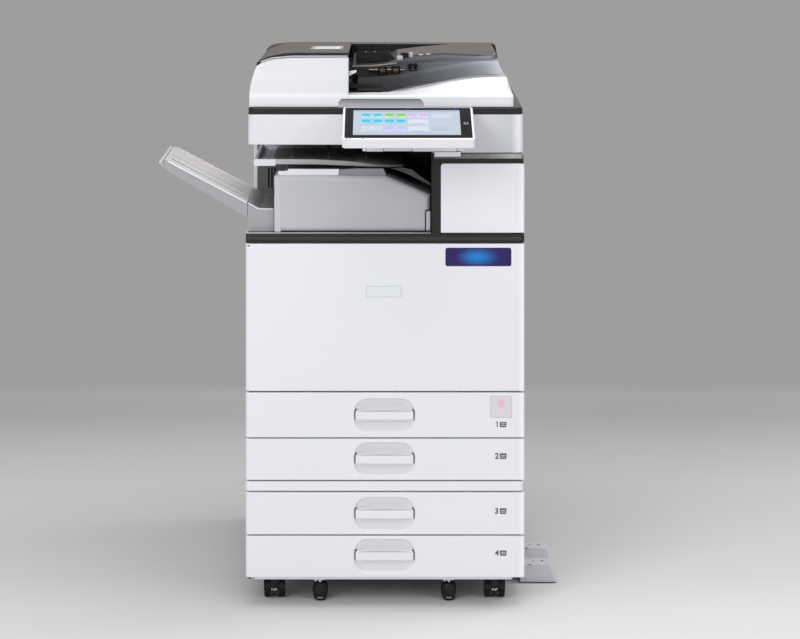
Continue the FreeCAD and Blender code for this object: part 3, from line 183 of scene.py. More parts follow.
SATIN_BLACK = surface("black_satin", (15, 15, 17), rough=0.28, rough_var=0.05, tone_var=0.03, wear=0.05, spec=0.35)
RUBBER = surface("rubber_black", (17, 17, 18), rough=0.72, rough_var=0.1, tone_var=0.08, tone_scale=60, grain=0.35, grain_scale=700, wear=0.10, wear_color=(62, 60, 59), dust=0.08, spec=0.3)
STEEL = surface("zinc_steel", (176, 178, 180), rough=0.32, rough_var=0.10, tone_var=0.05, tone_scale=18, grain=0.06, metallic=1.0, brushed=(1, 30, 1), wear=0.1)
BRIGHT = surface("bright_steel", (205, 206, 208), rough=0.16, rough_var=0.05, tone_var=0.03, metallic=1.0, grain=0.02, wear=0.05)
BRASS = surface("amber_roller", (98, 66, 28), rough=0.5, tone_var=0.06, grain=0.2, wear=0.05)
TEAL = surface("drum_coating", (38, 92, 108), rough=0.12, rough_var=0.03, tone_var=0.03, coat=0.6, wear=0.02)
PAPER = surface("paper_edges", (244, 243, 239), rough=0.85, tone_var=0.02, grain=0.3, grain_scale=300, spec=0.2, wear=0.0, brushed=(1, 1, 60))
STAB = surface("stabiliser_moulding", (196, 197, 203), rough=0.5, tone_var=0.03, wear=0.08, dust=0.15)
GREEN = surface("release_green", (58, 150, 96), rough=0.4, wear=0.05)
BLUE = surface("release_blue", (60, 96, 160), rough=0.4, wear=0.05)
PINS = surface("connector_gold", (196, 166, 96), rough=0.3, metallic=1.0, wear=0.05)
INK = surface("print_grey", (78, 80, 84), rough=0.6, wear=0.0, tone_var=0.03)
LABEL = surface("label_white", (240, 240, 238), rough=0.55, tone_var=0.02, wear=0.0)
LABEL_LINE = surface("label_line", (120, 122, 126), rough=0.6, wear=0.0)


def glass_material():
    m, nt, out = _new("platen_clear_glass")
    N, L = nt.nodes.new, nt.links.new
    b = N("ShaderNodeBsdfPrincipled")
    tc = N("ShaderNodeTexCoord")
    n = N("ShaderNodeTexNoise"); n.inputs["Scale"].default_value = 25.0; n.inputs["Detail"].default_value = 6.0
    L(tc.outputs["Object"], n.inputs["Vector"])
    r = N("ShaderNodeMapRange"); r.inputs[1].default_value = 0.35; r.inputs[2].default_value = 0.75; r.inputs[3].default_value = 0.02; r.inputs[4].default_value = 0.10
    L(n.outputs["Fac"], r.inputs[0]); L(r.outputs[0], b.inputs["Roughness"])
    b.inputs["Base Color"].default_value = (0.80, 0.90, 0.87, 1)
    b.inputs["Transmission Weight"].default_value = 1.0
    b.inputs["IOR"].default_value = 1.45
    tr = N("ShaderNodeBsdfTransparent"); tr.inputs[0].default_value = (0.86, 0.93, 0.91, 1)
    lp = N("ShaderNodeLightPath")
    mix = N("ShaderNodeMixShader")
    L(lp.outputs["Is Shadow Ray"], mix.inputs[0]); L(b.outputs[0], mix.inputs[1]); L(tr.outputs[0], mix.inputs[2])
    L(mix.outputs[0], out.inputs[0])
    return m


GLASS = glass_material()


def lit(name, color, strength=1.0, rough=0.15):
    """A lit patch of a screen, seen through a glossy front, its brightness varying faintly."""
    m, nt, out = _new(name)
    N, L = nt.nodes.new, nt.links.new
    b = N("ShaderNodeBsdfPrincipled")
    tc = N("ShaderNodeTexCoord")
    w = N("ShaderNodeTexNoise"); w.inputs["Scale"].default_value = 14.0; w.inputs["Detail"].default_value = 2.0
    L(tc.outputs["Object"], w.inputs["Vector"])
    mr = N("ShaderNodeMapRange"); mr.inputs[3].default_value = strength * 0.93; mr.inputs[4].default_value = strength * 1.07
    L(w.outputs["Fac"], mr.inputs[0])
    b.inputs["Base Color"].default_value = tuple(0.1 * v for v in lin(color)[:3]) + (1,)
    b.inputs["Emission Color"].default_value = lin(color)
    L(mr.outputs[0], b.inputs["Emission Strength"])
    b.inputs["Roughness"].default_value = rough
    L(b.outputs[0], out.inputs[0])
    m.diffuse_color = lin(color)
    return m


def glow_patch(name, base, spot, center, scale, strength=0.0, power=1.6):
    """Printed film whose colour brightens round one point of the layout frame (rounded, no lettering)."""
    m, nt, out = _new(name)
    N, L = nt.nodes.new, nt.links.new
    b = N("ShaderNodeBsdfPrincipled")
    tc = N("ShaderNodeTexCoord")
    sub = N("ShaderNodeVectorMath"); sub.operation = "SUBTRACT"; sub.inputs[1].default_value = W(center)
    L(tc.outputs["Object"], sub.inputs[0])
    sc = N("ShaderNodeVectorMath"); sc.operation = "MULTIPLY"; sc.inputs[1].default_value = (1000.0 / scale[0], 0, 1000.0 / scale[1])
    L(sub.outputs[0], sc.inputs[0])
    ln = N("ShaderNodeVectorMath"); ln.operation = "LENGTH"; L(sc.outputs[0], ln.inputs[0])
    mr = N("ShaderNodeMapRange"); mr.inputs[1].default_value = 1.0; mr.inputs[2].default_value = 0.0; mr.interpolation_type = "SMOOTHSTEP"
    L(ln.outputs["Value"], mr.inputs[0])
    pw = N("ShaderNodeMath"); pw.operation = "POWER"; pw.inputs[1].default_value = power; L(mr.outputs[0], pw.inputs[0])
    n = N("ShaderNodeTexNoise"); n.inputs["Scale"].default_value = 200.0; L(tc.outputs["Object"], n.inputs["Vector"])
    rr = N("ShaderNodeMapRange"); rr.inputs[3].default_value = 0.18; rr.inputs[4].default_value = 0.3; L(n.outputs["Fac"], rr.inputs[0]); L(rr.outputs[0], b.inputs["Roughness"])
    mx = N("ShaderNodeMix"); mx.data_type = "RGBA"; mx.inputs[6].default_value = lin(base); mx.inputs[7].default_value = lin(spot)
    L(pw.outputs[0], mx.inputs[0]); L(mx.outputs[2], b.inputs["Base Color"])
    if strength:
        L(mx.outputs[2], b.inputs["Emission Color"]); b.inputs["Emission Strength"].default_value = strength
    L(b.outputs[0], out.inputs[0])
    return m


# ------------------------------------------------------------------ painting CAD nodes
def paint(node, mat, rule=None):
    """mat on the whole node, or rule(centre, normal) -> material for each face. Centre is in the layout frame."""
    o = NODES[node]
    me = o.data
    me.materials.clear()
    if rule is None:
        me.materials.append(mat)
        for p in me.polygons:
            p.material_index = 0
    else:
        idx = {}
        for p in me.polygons:
            c = p.center
            m = rule((c.x * 1000 - OX, c.y * 1000 - OY, c.z * 1000), p.normal) or mat
            if m.name not in idx:
                idx[m.name] = len(idx)
                me.materials.append(m)
            p.material_index = idx[m.name]
    for p in me.polygons:
        p.use_smooth = True
    if "custom_normal" not in me.attributes:
        me.set_sharp_from_angle(angle=math.radians(28))
    return o


# ------------------------------------------------------------------ mesh helpers
def make(name, verts, faces, mat, body, bevel=0.0, seg=3, angle=30, sharp=32, solid=0.0, mats=None, mat_idx=None, doubles=False):
    me = bpy.data.meshes.new(name)
    me.from_pydata([W(v) for v in verts], [], [tuple(f) for f in faces])
    for m in (mats or [mat]):
        me.materials.append(m)
    if mat_idx is not None:
        for p, k in zip(me.polygons, mat_idx):
            p.material_index = k
    for p in me.polygons:
        p.use_smooth = True
    me.validate()
    import bmesh
    bm = bmesh.new(); bm.from_mesh(me)
    if doubles:
        bmesh.ops.remove_doubles(bm, verts=bm.verts, dist=1e-6)
    bmesh.ops.recalc_face_normals(bm, faces=bm.faces)
    bm.to_mesh(me); bm.free()
    o = bpy.data.objects.new(name, me)
    bpy.context.scene.collection.objects.link(o)
    if solid:
        s = o.modifiers.new("thick", "SOLIDIFY"); s.thickness = abs(solid) / 1000.0; s.offset = -1 if solid > 0 else 1; s.use_even_offset = True
    if bevel:
        bv = o.modifiers.new("round", "BEVEL"); bv.width = bevel / 1000.0; bv.segments = seg; bv.limit_method = "ANGLE"; bv.angle_limit = math.radians(angle)
        bv.harden_normals = True; bv.use_clamp_overlap = True; bv.miter_outer = "MITER_ARC"
    else:
        me.set_sharp_from_angle(angle=math.radians(sharp))
    if body:
        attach(o, body)
    return o


def rounded(pts, seg=6):
    """2-D outline with optional corner radii, as points."""
    out = []
    n = len(pts)
    for i, p in enumerate(pts):
        u, v = p[0], p[1]
        r = p[2] if len(p) > 2 else 0
        if r <= 0:
            out.append((u, v)); continue
        a, b = pts[i - 1], pts[(i + 1) % n]
        da = Vector((a[0] - u, a[1] - v)).normalized(); db = Vector((b[0] - u, b[1] - v)).normalized()
        ang = math.acos(max(-1, min(1, da.dot(db))))
        t = r / math.tan(ang / 2)
        c = Vector((u, v)) + (da + db).normalized() * (r / math.sin(ang / 2))
        p0 = Vector((u, v)) + da * t; p1 = Vector((u, v)) + db * t
        a0 = math.atan2(p0.y - c.y, p0.x - c.x); a1 = math.atan2(p1.y - c.y, p1.x - c.x)
        d = a1 - a0
        while d > math.pi: d -= 2 * math.pi
        while d < -math.pi: d += 2 * math.pi
        for k in range(seg + 1):
            q = a0 + d * k / seg
            out.append((c.x + r * math.cos(q), c.y + r * math.sin(q)))
    return out


def rect(a0, a1, b0, b1, r=0.0):
    return [(a0, b0, r), (a1, b0, r), (a1, b1, r), (a0, b1, r)]


def prism(name, plane, pts, lo, hi, mat, body, bevel=0.0, seg=3, angle=30, rseg=6):
    q = rounded(pts, rseg)
    f = {"xz": lambda u, v, w: (u, w, v), "yz": lambda u, v, w: (w, u, v), "xy": lambda u, v, w: (u, v, w)}[plane]
    n = len(q)
    verts = [f(u, v, lo) for u, v in q] + [f(u, v, hi) for u, v in q]
    faces = [list(range(n))[::-1], list(range(n, 2 * n))] + [(i, (i + 1) % n, n + (i + 1) % n, n + i) for i in range(n)]
    return make(name, verts, faces, mat, body, bevel=bevel, seg=seg, angle=angle)


def rbox(name, x0, x1, y0, y1, z0, z1, mat, body, bevel=0.6, seg=3):
    return prism(name, "xy", rect(x0, x1, y0, y1), z0, z1, mat, body, bevel=bevel, seg=seg)


def grid(name, rows, mat, body, wrap=False, solid=0.0, bevel=0.0, sharp=40, cap=False, mats=None, idx=None):
    """Surface through rows of equally many points."""
    m = len(rows[0])
    verts = [p for r in rows for p in r]
    faces, mi = [], []
    for i in range(len(rows) - 1):
        for j in range(m if wrap else m - 1):
            a, b = i * m + j, i * m + (j + 1) % m
            faces.append((a, b, b + m, a + m))
            if idx: mi.append(idx(i, j))
    if cap:
        faces.append(list(range(m))[::-1]); faces.append(list(range((len(rows) - 1) * m, len(rows) * m)))
        if idx: mi += [0, 0]
    return make(name, verts, faces, mat, body, solid=solid, bevel=bevel, sharp=sharp, mats=mats, mat_idx=mi if idx else None)


def lathe(name, prof, center, axis, mat, body, n=40, sharp=35):
    """Turned piece: prof is (radius, distance along axis); axis x, y or z."""
    rows = []
    for r, h in prof:
        row = []
        for k in range(n):
            a = 2 * math.pi * k / n
            c, s = r * math.cos(a), r * math.sin(a)
            if axis == "x": row.append((center[0] + h, center[1] + c, center[2] + s))
            elif axis == "y": row.append((center[0] + c, center[1] + h, center[2] + s))
            else: row.append((center[0] + c, center[1] + s, center[2] + h))
        rows.append(row)
    return grid(name, rows, mat, body, wrap=True, cap=True, sharp=sharp)


def tube(name, pts, r, mat, body, n=10):
    rows = []
    P = [Vector(p) for p in pts]
    up = Vector((0, 0, 1))
    for i, p in enumerate(P):
        d = (P[min(i + 1, len(P) - 1)] - P[max(i - 1, 0)]).normalized()
        s = d.cross(up)
        if s.length < 1e-3: s = d.cross(Vector((1, 0, 0)))
        s.normalize(); u = s.cross(d).normalized()
        rows.append([tuple(p + s * r * math.cos(2 * math.pi * k / n) + u * r * math.sin(2 * math.pi * k / n)) for k in range(n)])
    return grid(name, rows, mat, body, wrap=True, cap=True, sharp=60)


def glyph(name, char, x, y, z, h, mat, body, depth=0.15):
    """A plain numeral standing on the front face: lower left corner at x, z."""
    cu = bpy.data.curves.new(name + "_c", "FONT")
    cu.body = char; cu.size = 1.0; cu.extrude = 0.0; cu.offset = 0.03
    tmp = bpy.data.objects.new(name + "_t", cu)
    bpy.context.scene.collection.objects.link(tmp)
    bpy.context.view_layer.update()
    dg = bpy.context.evaluated_depsgraph_get()
    me = bpy.data.meshes.new_from_object(tmp.evaluated_get(dg))
    xs = [v.co.x for v in me.vertices]; ys = [v.co.y for v in me.vertices]
    k = h / (max(ys) - min(ys))
    verts = [(x + (v.co.x - min(xs)) * k, y - depth, z + (v.co.y - min(ys)) * k) for v in me.vertices]
    faces = [list(p.vertices) for p in me.polygons]
    bpy.data.objects.remove(tmp); bpy.data.curves.remove(cu)
    return make(name, verts, faces, mat, body)


def interp(x, table):
    if x <= table[0][0]: return table[0][1]
    for (x0, z0), (x1, z1) in zip(table, table[1:]):
        if x <= x1:
            return z0 + (z1 - z0) * (x - x0) / (x1 - x0)
    return table[-1][1]


def smooth_fn(table, w):
    """Table lookup averaged over +-w, so its corners are rounded."""
    def f(x):
        return sum(interp(x + w * k / 6.0, table) for k in range(-6, 7)) / 13.0
    return f


# ------------------------------------------------------------------ carried-over CAD nodes
def is_up(n, t=0.8): return n.z > t


for nd in ("side_covers", "rear_cover", "right_door", "bank_side_door", "bypass_tray", "bypass_extension", "bank_covers"):
    paint(nd, WHITE_SIDE)
for nd in ("fixed_front_covers", "front_door", "paper_tray_1_front", "paper_tray_2_front", "paper_tray_3_front", "paper_tray_4_front"):
    paint(nd, WHITE)
paint("scanner_housing", WHITE)
paint("dark_front_trim", DARK)
paint("main_frame", STEEL)
paint("bank_frame", STEEL)
paint("engine_units", BLACK)
paint("controller_and_mains", BLACK)
paint("paper_path_unit", BLACK)
paint("scanner_optics", BLACK)
paint("lamp_carriage", BLACK)
paint("mirror_carriage", BLACK)
paint("inner_front_cover", MID_GREY)
paint("hinges_and_screws", STEEL)
paint("output_cavity_liner", CAVITY)
paint("one_bin_tray", GREY)
paint("finisher_body", GREY)
paint("finisher_door", GREY)
paint("finisher_latch", GREY)
paint("side_output_tray", GREY_TRAY)
paint("side_tray_extension", GREY_TRAY)
paint("stabilisers", STAB)
paint("platen_frame", WARM)
paint("platen_glass", GLASS)
paint("panel_housing", BLACK)
paint("panel_glass", SATIN_BLACK)
paint("feeder_body", WARM)
paint("feeder_inserts", DARK)
paint("feed_cover", WARM)
paint("original_tray", WARM)
paint("front_side_guide", BLACK)
paint("rear_side_guide", BLACK)
paint("toner_bottle", WHITE)
paint("photoconductor_drum", TEAL)
paint("mains_switch", BLACK)
for k in (1, 2, 3, 4):
    paint("paper_tray_%d_box" % k, MID_GREY)
for c in ("front_left", "front_right", "rear_left", "rear_right"):
    paint("caster_%s_wheels" % c, RUBBER)
    paint("caster_%s_yoke" % c, BLACK)
paint("levelling_foot_left", BLACK)
paint("levelling_foot_right", BLACK)

# ------------------------------------------------------------------ projecting thin films onto CAD surfaces
from mathutils.bvhtree import BVHTree
_trees = {}


def tree(node):
    if node not in _trees:
        me = NODES[node].data
        _trees[node] = BVHTree.FromPolygons([v.co[:] for v in me.vertices], [tuple(p.vertices) for p in me.polygons])
    return _trees[node]


def hit(nodes, p, d):
    """First hit from p (layout mm) along d on any of the nodes, as layout mm, or None."""
    best = None
    o = Vector(W(p)); dv = Vector(d).normalized()
    for n in nodes:
        loc, nor, i, dist = tree(n).ray_cast(o, dv)
        if loc is not None and (best is None or dist < best[1]):
            best = (loc, dist)
    if best is None:
        return None
    l = best[0]
    return (l.x * 1000 - OX, l.y * 1000 - OY, l.z * 1000)


def film(name, nodes, plane, a0, a1, b0, b1, mat, body, off=0.15, na=6, nb=6, start=-400.0, d=None):
    """Thin printed film that follows the surface: plane 'front' (x, z seen along +Y) or 'top' (x, y seen from above)."""
    rows = []
    for j in range(nb + 1):
        row = []
        for i in range(na + 1):
            a = a0 + (a1 - a0) * i / na; b = b0 + (b1 - b0) * j / nb
            if plane == "front":
                h = hit(nodes, (a, start, b), (0, 1, 0)); row.append((a, h[1] - off if h else start, b))
            elif plane == "top":
                h = hit(nodes, (a, b, 1300), (0, 0, -1)); row.append((a, b, h[2] + off if h else 1000))
            else:
                s = 1 if plane == "right" else -1
                h = hit(nodes, (s * 500, a, b), (-s, 0, 0)); row.append(((h[0] if h else 0) + s * off, a, b))
        rows.append(row)
    o = grid(name, rows, mat, body)
    m = o.modifiers.new("thick", "SOLIDIFY"); m.thickness = 0.00012; m.offset = 0
    return o


# ------------------------------------------------------------------ document feeder
def outline_top(x, table):
    return interp(x, table)


PROF = [(-287, 1055), (-286.5, 1085), (-282.5, 1109), (-275.5, 1133), (-271.5, 1141), (-262, 1147.5), (-250, 1152), (-233, 1156), (-199, 1159), (-120, 1159.4), (-76, 1159.6)]


def left_x(z):
    return interp(z, [(p[1], p[0]) for p in PROF])


def skin_y(z):
    return interp(z, [(1055, 8.4), (1056, 8.0), (1076.5, 7.4), (1079.5, 8.6), (1082, 9.6), (1116, 9.9), (1119, 10.3), (1147, 11.2), (1160, 11.6)])


def feeder_skin():
    """Front moulding of the left housing: three bands with soft creases between them."""
    zs = [1055.2, 1056.2, 1060, 1066, 1072, 1076.5, 1078, 1079.5, 1081, 1082.5, 1090, 1100, 1110, 1116, 1117.5, 1119, 1121, 1128, 1134, 1139, 1141, 1144, 1146, 1147.5, 1149.5, 1151, 1152, 1153.5, 1155, 1156, 1157, 1158, 1158.9]
    rows = []
    for z in zs:
        xl = left_x(z) + 0.6
        row = []
        for k in range(0, 5):
            a = math.pi / 2 * k / 4
            row.append((xl + 3.2 * (1 - math.sin(a)) * 1.0 if False else xl + 3.2 * (1 - math.cos(a)), skin_y(z) + 3.6 * (1 - math.sin(a)), z))
        for k in range(1, 21):
            x = xl + 3.2 + (-77.2 - xl - 3.2) * k / 20
            row.append((x, skin_y(z), z))
        row.append((-76.6, skin_y(z) + 0.4, z)); row.append((-76.3, 12.3, z))
        rows.append(row)
    return grid("feeder_left_front_moulding", rows, WHITE_SOFT, "feeder", sharp=60)


WHITE_SOFT = surface("white_soft_moulding", (226, 227, 229), rough=0.36, tone_var=0.010, tone_scale=3.0, wear=0.02, radius=0.0022)
feeder_skin()


def right_skin():
    """Front band of the fairing right of the input slot."""
    rows = []
    for z in [1055.2, 1056.2, 1060, 1066, 1072, 1075.5, 1077.5, 1079.2, 1080.2]:
        row = []
        dy = 0 if z < 1077 else (z - 1077) * 0.9
        for k in range(0, 33):
            x = -76.2 + (271.0 + 76.2) * k / 32
            row.append((x, skin_y(min(z, 1076)) + dy, z))
        row += [(272.0, 8.8 + dy, z), (272.7, 10.4 + dy, z), (273.0, 12.6 + dy, z)]
        rows.append(row)
    return rows


GR0, GR1 = -98.0, 83.0       # the grip recess in the front edge


def cutaway(rows, keep):
    return rows


o = grid("feeder_right_front_moulding", right_skin(), WHITE_SOFT, "feeder", sharp=60)

# grip recess: rounded pocket under the front edge, with painted shade that darkens towards its top

# fairing, output surface and rear parts of the CAD body are painted by place
OUT_DARK = surface("output_shade", (58, 58, 60), rough=0.45, tone_var=0.04)


def ramp_material(name, stops, axis, lo, hi, rough=0.4, second=None, glow=0.0, flat=1.0):
    """Moulded surface whose tone runs from one colour to another along an axis of the layout frame."""
    m = surface(name, (220, 220, 220), rough=rough, tone_var=0.012, wear=0.03, radius=0.0015)
    nt = m.node_tree
    N, L = nt.nodes.new, nt.links.new
    b = next(n for n in nt.nodes if n.type == "BSDF_PRINCIPLED")
    tc = N("ShaderNodeTexCoord"); sep = N("ShaderNodeSeparateXYZ"); L(tc.outputs["Object"], sep.inputs[0])
    mr = N("ShaderNodeMapRange"); off = {0: OX, 1: OY, 2: 0}[axis]
    mr.inputs[1].default_value = (lo + off) / 1000; mr.inputs[2].default_value = (hi + off) / 1000
    L(sep.outputs[axis], mr.inputs[0])
    cr = N("ShaderNodeValToRGB")
    els = cr.color_ramp.elements
    while len(els) < len(stops): els.new(0.5)
    for e, (p, c) in zip(els, stops):
        e.position = p; e.color = lin(c)
    fac = mr.outputs[0]
    if second:
        ax2, lo2, hi2, amount = second
        off2 = {0: OX, 1: OY, 2: 0}[ax2]
        m2 = N("ShaderNodeMapRange"); m2.inputs[1].default_value = (lo2 + off2) / 1000; m2.inputs[2].default_value = (hi2 + off2) / 1000; m2.inputs[4].default_value = amount
        L(sep.outputs[ax2], m2.inputs[0])
        sb = N("ShaderNodeMath"); sb.operation = "SUBTRACT"; L(mr.outputs[0], sb.inputs[0]); L(m2.outputs[0], sb.inputs[1]); fac = sb.outputs[0]
    L(fac, cr.inputs[0])
    mul = N("ShaderNodeMix"); mul.data_type = "RGBA"; mul.blend_type = "MULTIPLY"; mul.inputs[0].default_value = 1.0
    n1 = N("ShaderNodeTexNoise"); n1.inputs["Scale"].default_value = 12.0
    L(tc.outputs["Object"], n1.inputs["Vector"])
    r2 = N("ShaderNodeMapRange"); r2.inputs[3].default_value = 0.97; r2.inputs[4].default_value = 1.03; L(n1.outputs["Fac"], r2.inputs[0])
    cc = N("ShaderNodeCombineColor")
    for k in range(3): L(r2.outputs[0], cc.inputs[k])
    L(cr.outputs[0], mul.inputs[6]); L(cc.outputs[0], mul.inputs[7])
    if flat < 1.0:
        dim = N("ShaderNodeMix"); dim.data_type = "RGBA"; dim.blend_type = "MULTIPLY"; dim.inputs[0].default_value = 1.0
        dim.inputs[7].default_value = (flat, flat, flat, 1.0)
        L(mul.outputs[2], dim.inputs[6]); L(dim.outputs[2], b.inputs["Base Color"])
    else:
        L(mul.outputs[2], b.inputs["Base Color"])
    # glow: the surface also emits its own colour, painted light that lifts it out of shade; flat dims the base colour
    # to suit
    if glow:
        L(mul.outputs[2], b.inputs["Emission Color"]); b.inputs["Emission Strength"].default_value = glow
    return m


# painted shade: the pocket's tone darkens from its lower edge up to the overhanging front edge
GRIP_PAINTED_SHADE = ramp_material("grip_pocket", [(0.0, (182, 183, 188)), (0.35, (160, 161, 167)), (0.75, (136, 137, 143)), (1.0, (92, 92, 97))], 2, 1057.5, 1073.0, rough=0.35)
prism("feeder_grip_pocket", "xz", [(-97.5, 1053.8), (82.5, 1053.8), (82.5, 1066, 6), (76, 1072.6, 5), (-91, 1072.6, 5), (-97.5, 1066, 6)], 6.7, 9.0, GRIP_PAINTED_SHADE, "feeder", bevel=0.5)
# painted shade and glow: the delivery surface darkens towards the left, under the original tray, and emits part of its
# own colour to lift it out of shade
OUT_SURF_SHADE_GLOW = ramp_material("output_surface", [(0.0, (62, 62, 66)), (0.15, (64, 64, 68)), (0.32, (72, 73, 78)), (0.46, (92, 93, 100)), (0.59, (118, 120, 129)), (0.74, (142, 145, 154)), (0.865, (172, 175, 184)), (0.96, (200, 203, 211)), (1.0, (210, 213, 220))], 0, -76, 262, glow=0.55, flat=0.35)
OUT_WHITE = surface("output_plate_white", (194, 195, 198), rough=0.4, tone_var=0.012, wear=0.02, radius=0.0015)
# painted shade with a faint glow: the rear wall darkens towards the left, under the original tray
REAR_WALL_SHADE = ramp_material("feeder_rear_wall", [(0.0, (70, 70, 74)), (0.3, (118, 119, 126)), (0.55, (152, 154, 162)), (0.85, (190, 192, 199)), (1.0, (208, 210, 216))], 0, -76, 262, glow=0.04)


def feeder_rule(c, n):
    x, y, z = c
    if y > 505 and (x > -74 or y > 521):
        # front faces of the rear cap: below z 1116 the shaded wall ramp, above it and further back plain black, a
        # painted shadow under the cap's top edge
        if n.y < -0.5 and y < 524: return REAR_WALL_SHADE if z < 1116 else BLACK
        if n.y < -0.5: return BLACK
        return WARM
    if x < -74:
        if n.x > 0.7 and x > -80: return DEEP
        if y > 505: return WARM
        if n.y > -0.5 and (n.z > 0.25 or y > 500): return WARM
        return WHITE_SOFT
    if y > 505: return WARM if n.z > 0.3 else REAR_WALL_SHADE
    if y > 66 and n.z > 0.3 and x < 262 and z < 1113: return OUT_SURF_SHADE_GLOW
    if y > 66 and abs(n.y) > 0.7 and x < 262: return OUT_DARK
    return WHITE_SOFT


paint("feeder_body", WHITE_SOFT, feeder_rule)
paint("feeder_inserts", OUT_DARK, lambda c, n: GRIP_PAINTED_SHADE if c[1] < 31 else (LABEL if c[2] < 1062 and c[1] > 80 else OUT_DARK))


def cover_rule(c, n):
    x, y, z = c
    if y < 30 and n.y < -0.3: return BLACK
    if x < -262 and n.x < -0.6: return BLACK
    return WARM


paint("feed_cover", WARM, cover_rule)
# painted shade: the tray's top darkens towards the left, like the shaded wall under it
TRAY_WING_SHADE = ramp_material("tray_wing", [(0.0, (30, 30, 30)), (0.30, (40, 40, 42)), (0.42, (56, 57, 60)), (0.58, (76, 77, 82)), (0.70, (92, 94, 100)), (0.82, (112, 114, 121)), (0.94, (136, 138, 145)), (1.0, (96, 93, 90))], 0, -70, 244, rough=0.5)
# the tray's downward faces are dark grey, painted shade under it
paint("original_tray", TRAY_WING_SHADE, lambda c, n: WARM if (n.x > 0.7 or n.y > 0.7) else (DARK if n.z < -0.3 else TRAY_WING_SHADE))
# painted light: the frame is dark grey, and its upward faces get the lighter warm grey of a lit top
paint("platen_frame", WARM, lambda c, n: DARK if n.z < 0.5 else WARM)

# painted highlight: a pale tube along the lower edge of the cover's dark lip stands in for the light line there
bead = []
for k in range(25):
    x = -262 + (262 - 78) * k / 24
    zz = None
    for q in range(60):
        z = 1140 + 0.5 * q
        h = hit(["feed_cover"], (x, -300, z), (0, 1, 0))
        if h and h[1] < 20:
            zz = z; break
    if zz is not None:
        h = hit(["feed_cover"], (x, -300, zz + 1.4), (0, 1, 0)) or h
        bead.append((x, h[1] - 0.9, zz + 1.2))
tube("cover_silver_bead", bead, 1.9, surface("bead_silver", (176, 176, 182), rough=0.35, wear=0), "feed_cover", n=10)
film("cover_front_margin", ["feed_cover"], "top", -266.5, -77.6, 14.0, 45.0, surface("cover_margin_black", (24, 23, 29), rough=0.4, wear=0.04, spec=0.3), "feed_cover", off=0.22, na=60, nb=4)
rbox("frame_front_top_line", -286, 290, 2.2, 9.5, 1053.6, 1054.25, DARK, "machine", bevel=0.15)
rbox("frame_front_groove", -287.5, 290.5, 1.15, 2.0, 1040.4, 1045.2, DEEP, "machine", bevel=0.3)

# blank label on the cover
film("cover_label", ["feed_cover"], "top", -162, -92, 190, 322, LABEL, "feed_cover", off=0.2, na=8, nb=8)
for k in range(4):
    film("cover_label_line_%d" % k, ["feed_cover"], "top", -156, -100 - 8 * (k % 2), 300 - 26 * k, 304 - 26 * k, LABEL_LINE, "feed_cover", off=0.45, na=4, nb=2)

# input guides on the original tray: ribs on each side guide and a scale of fine marks
for nm, y0, s in (("front", 154.2, 1), ("rear", 365.8, -1)):
    for k in range(5):
        x = -50 + 15 * k
        prism("guide_rib_%s_%d" % (nm, k), "yz", [(y0, 1139.5), (y0 + s * 2.4, 1139.5), (y0 + s * 2.4, 1141), (y0, 1156)] if s > 0 else [(y0, 1156), (y0 - 2.4, 1141), (y0 - 2.4, 1139.5), (y0, 1139.5)], x - 0.8, x + 0.8, DARK, nm + "_side_guide", bevel=0.2)
# the plate the originals rest on: its front edge sweeps back in an S, over a front wing darkened with painted shade
TRAY_TOP = [(-70, 1134.5), (-20, 1136.5), (30, 1142), (80, 1148), (130, 1152.5), (185, 1155.5), (244, 1156.5)]
REST_EDGE = [(28, 160), (46, 205), (66, 230), (84, 224), (103, 214), (122, 205), (157, 164), (190, 122), (215, 101), (222, 98.5), (236, 103), (243, 114)]


def rest_z(x):
    return interp(x, TRAY_TOP)


rows = []
xs = [28.5, 36, 46, 56, 66, 80, 94, 108, 122, 138, 154, 170, 186, 202, 214, 222, 230, 237, 242.5]
for t, dz in ((0.0, -0.5), (0.0, 0.9), (0.006, 1.3), (0.25, 1.3), (0.5, 1.3), (0.75, 1.3), (0.994, 1.3), (1.0, 0.9), (1.0, -0.5)):
    rows.append([(x, interp(x, REST_EDGE) + (423.2 - (0 if x < 220 else 24 - math.sqrt(max(576 - (x - 220) ** 2, 0))) - interp(x, REST_EDGE)) * t, rest_z(x) + dz) for x in xs])
grid("original_rest_plate", rows, WARM, "original_tray", sharp=50)
# painted shadow: a dark sheet just in front of the rest plate's edge stands in for the shade that edge casts
rows = []
xs = [58, 64, 74, 90, 110, 130, 150, 170, 190, 206]
for t in (0.0, 0.5, 1.0):
    rows.append([(x, max(interp(x, REST_EDGE) - 34 * min(1, (x - 56) / 14.0) * (1 - t), 97), rest_z(x) + 0.35) for x in xs])
grid("original_rest_channel", rows, SATIN_BLACK, "original_tray", sharp=50)
for k, x in enumerate((76, 92)):
    rbox("rest_glide_%d" % k, x, x + 9, interp(x, REST_EDGE) - 22, interp(x, REST_EDGE) - 12, rest_z(x) - 0.3, rest_z(x + 9) + 1.6, GREY, "original_tray", bevel=0.7)
rbox("rest_magnet_pad", 196, 226, 99.5, 112, rest_z(196) - 0.6, rest_z(226) + 0.75, DEEP, "original_tray", bevel=0.4)
lathe("rest_stud", [(0, 0), (3.1, 0), (3.1, 1.6), (2.4, 2.2), (0, 2.3)], (234.5, 112, rest_z(234)), "z", BRIGHT, "original_tray", n=24)
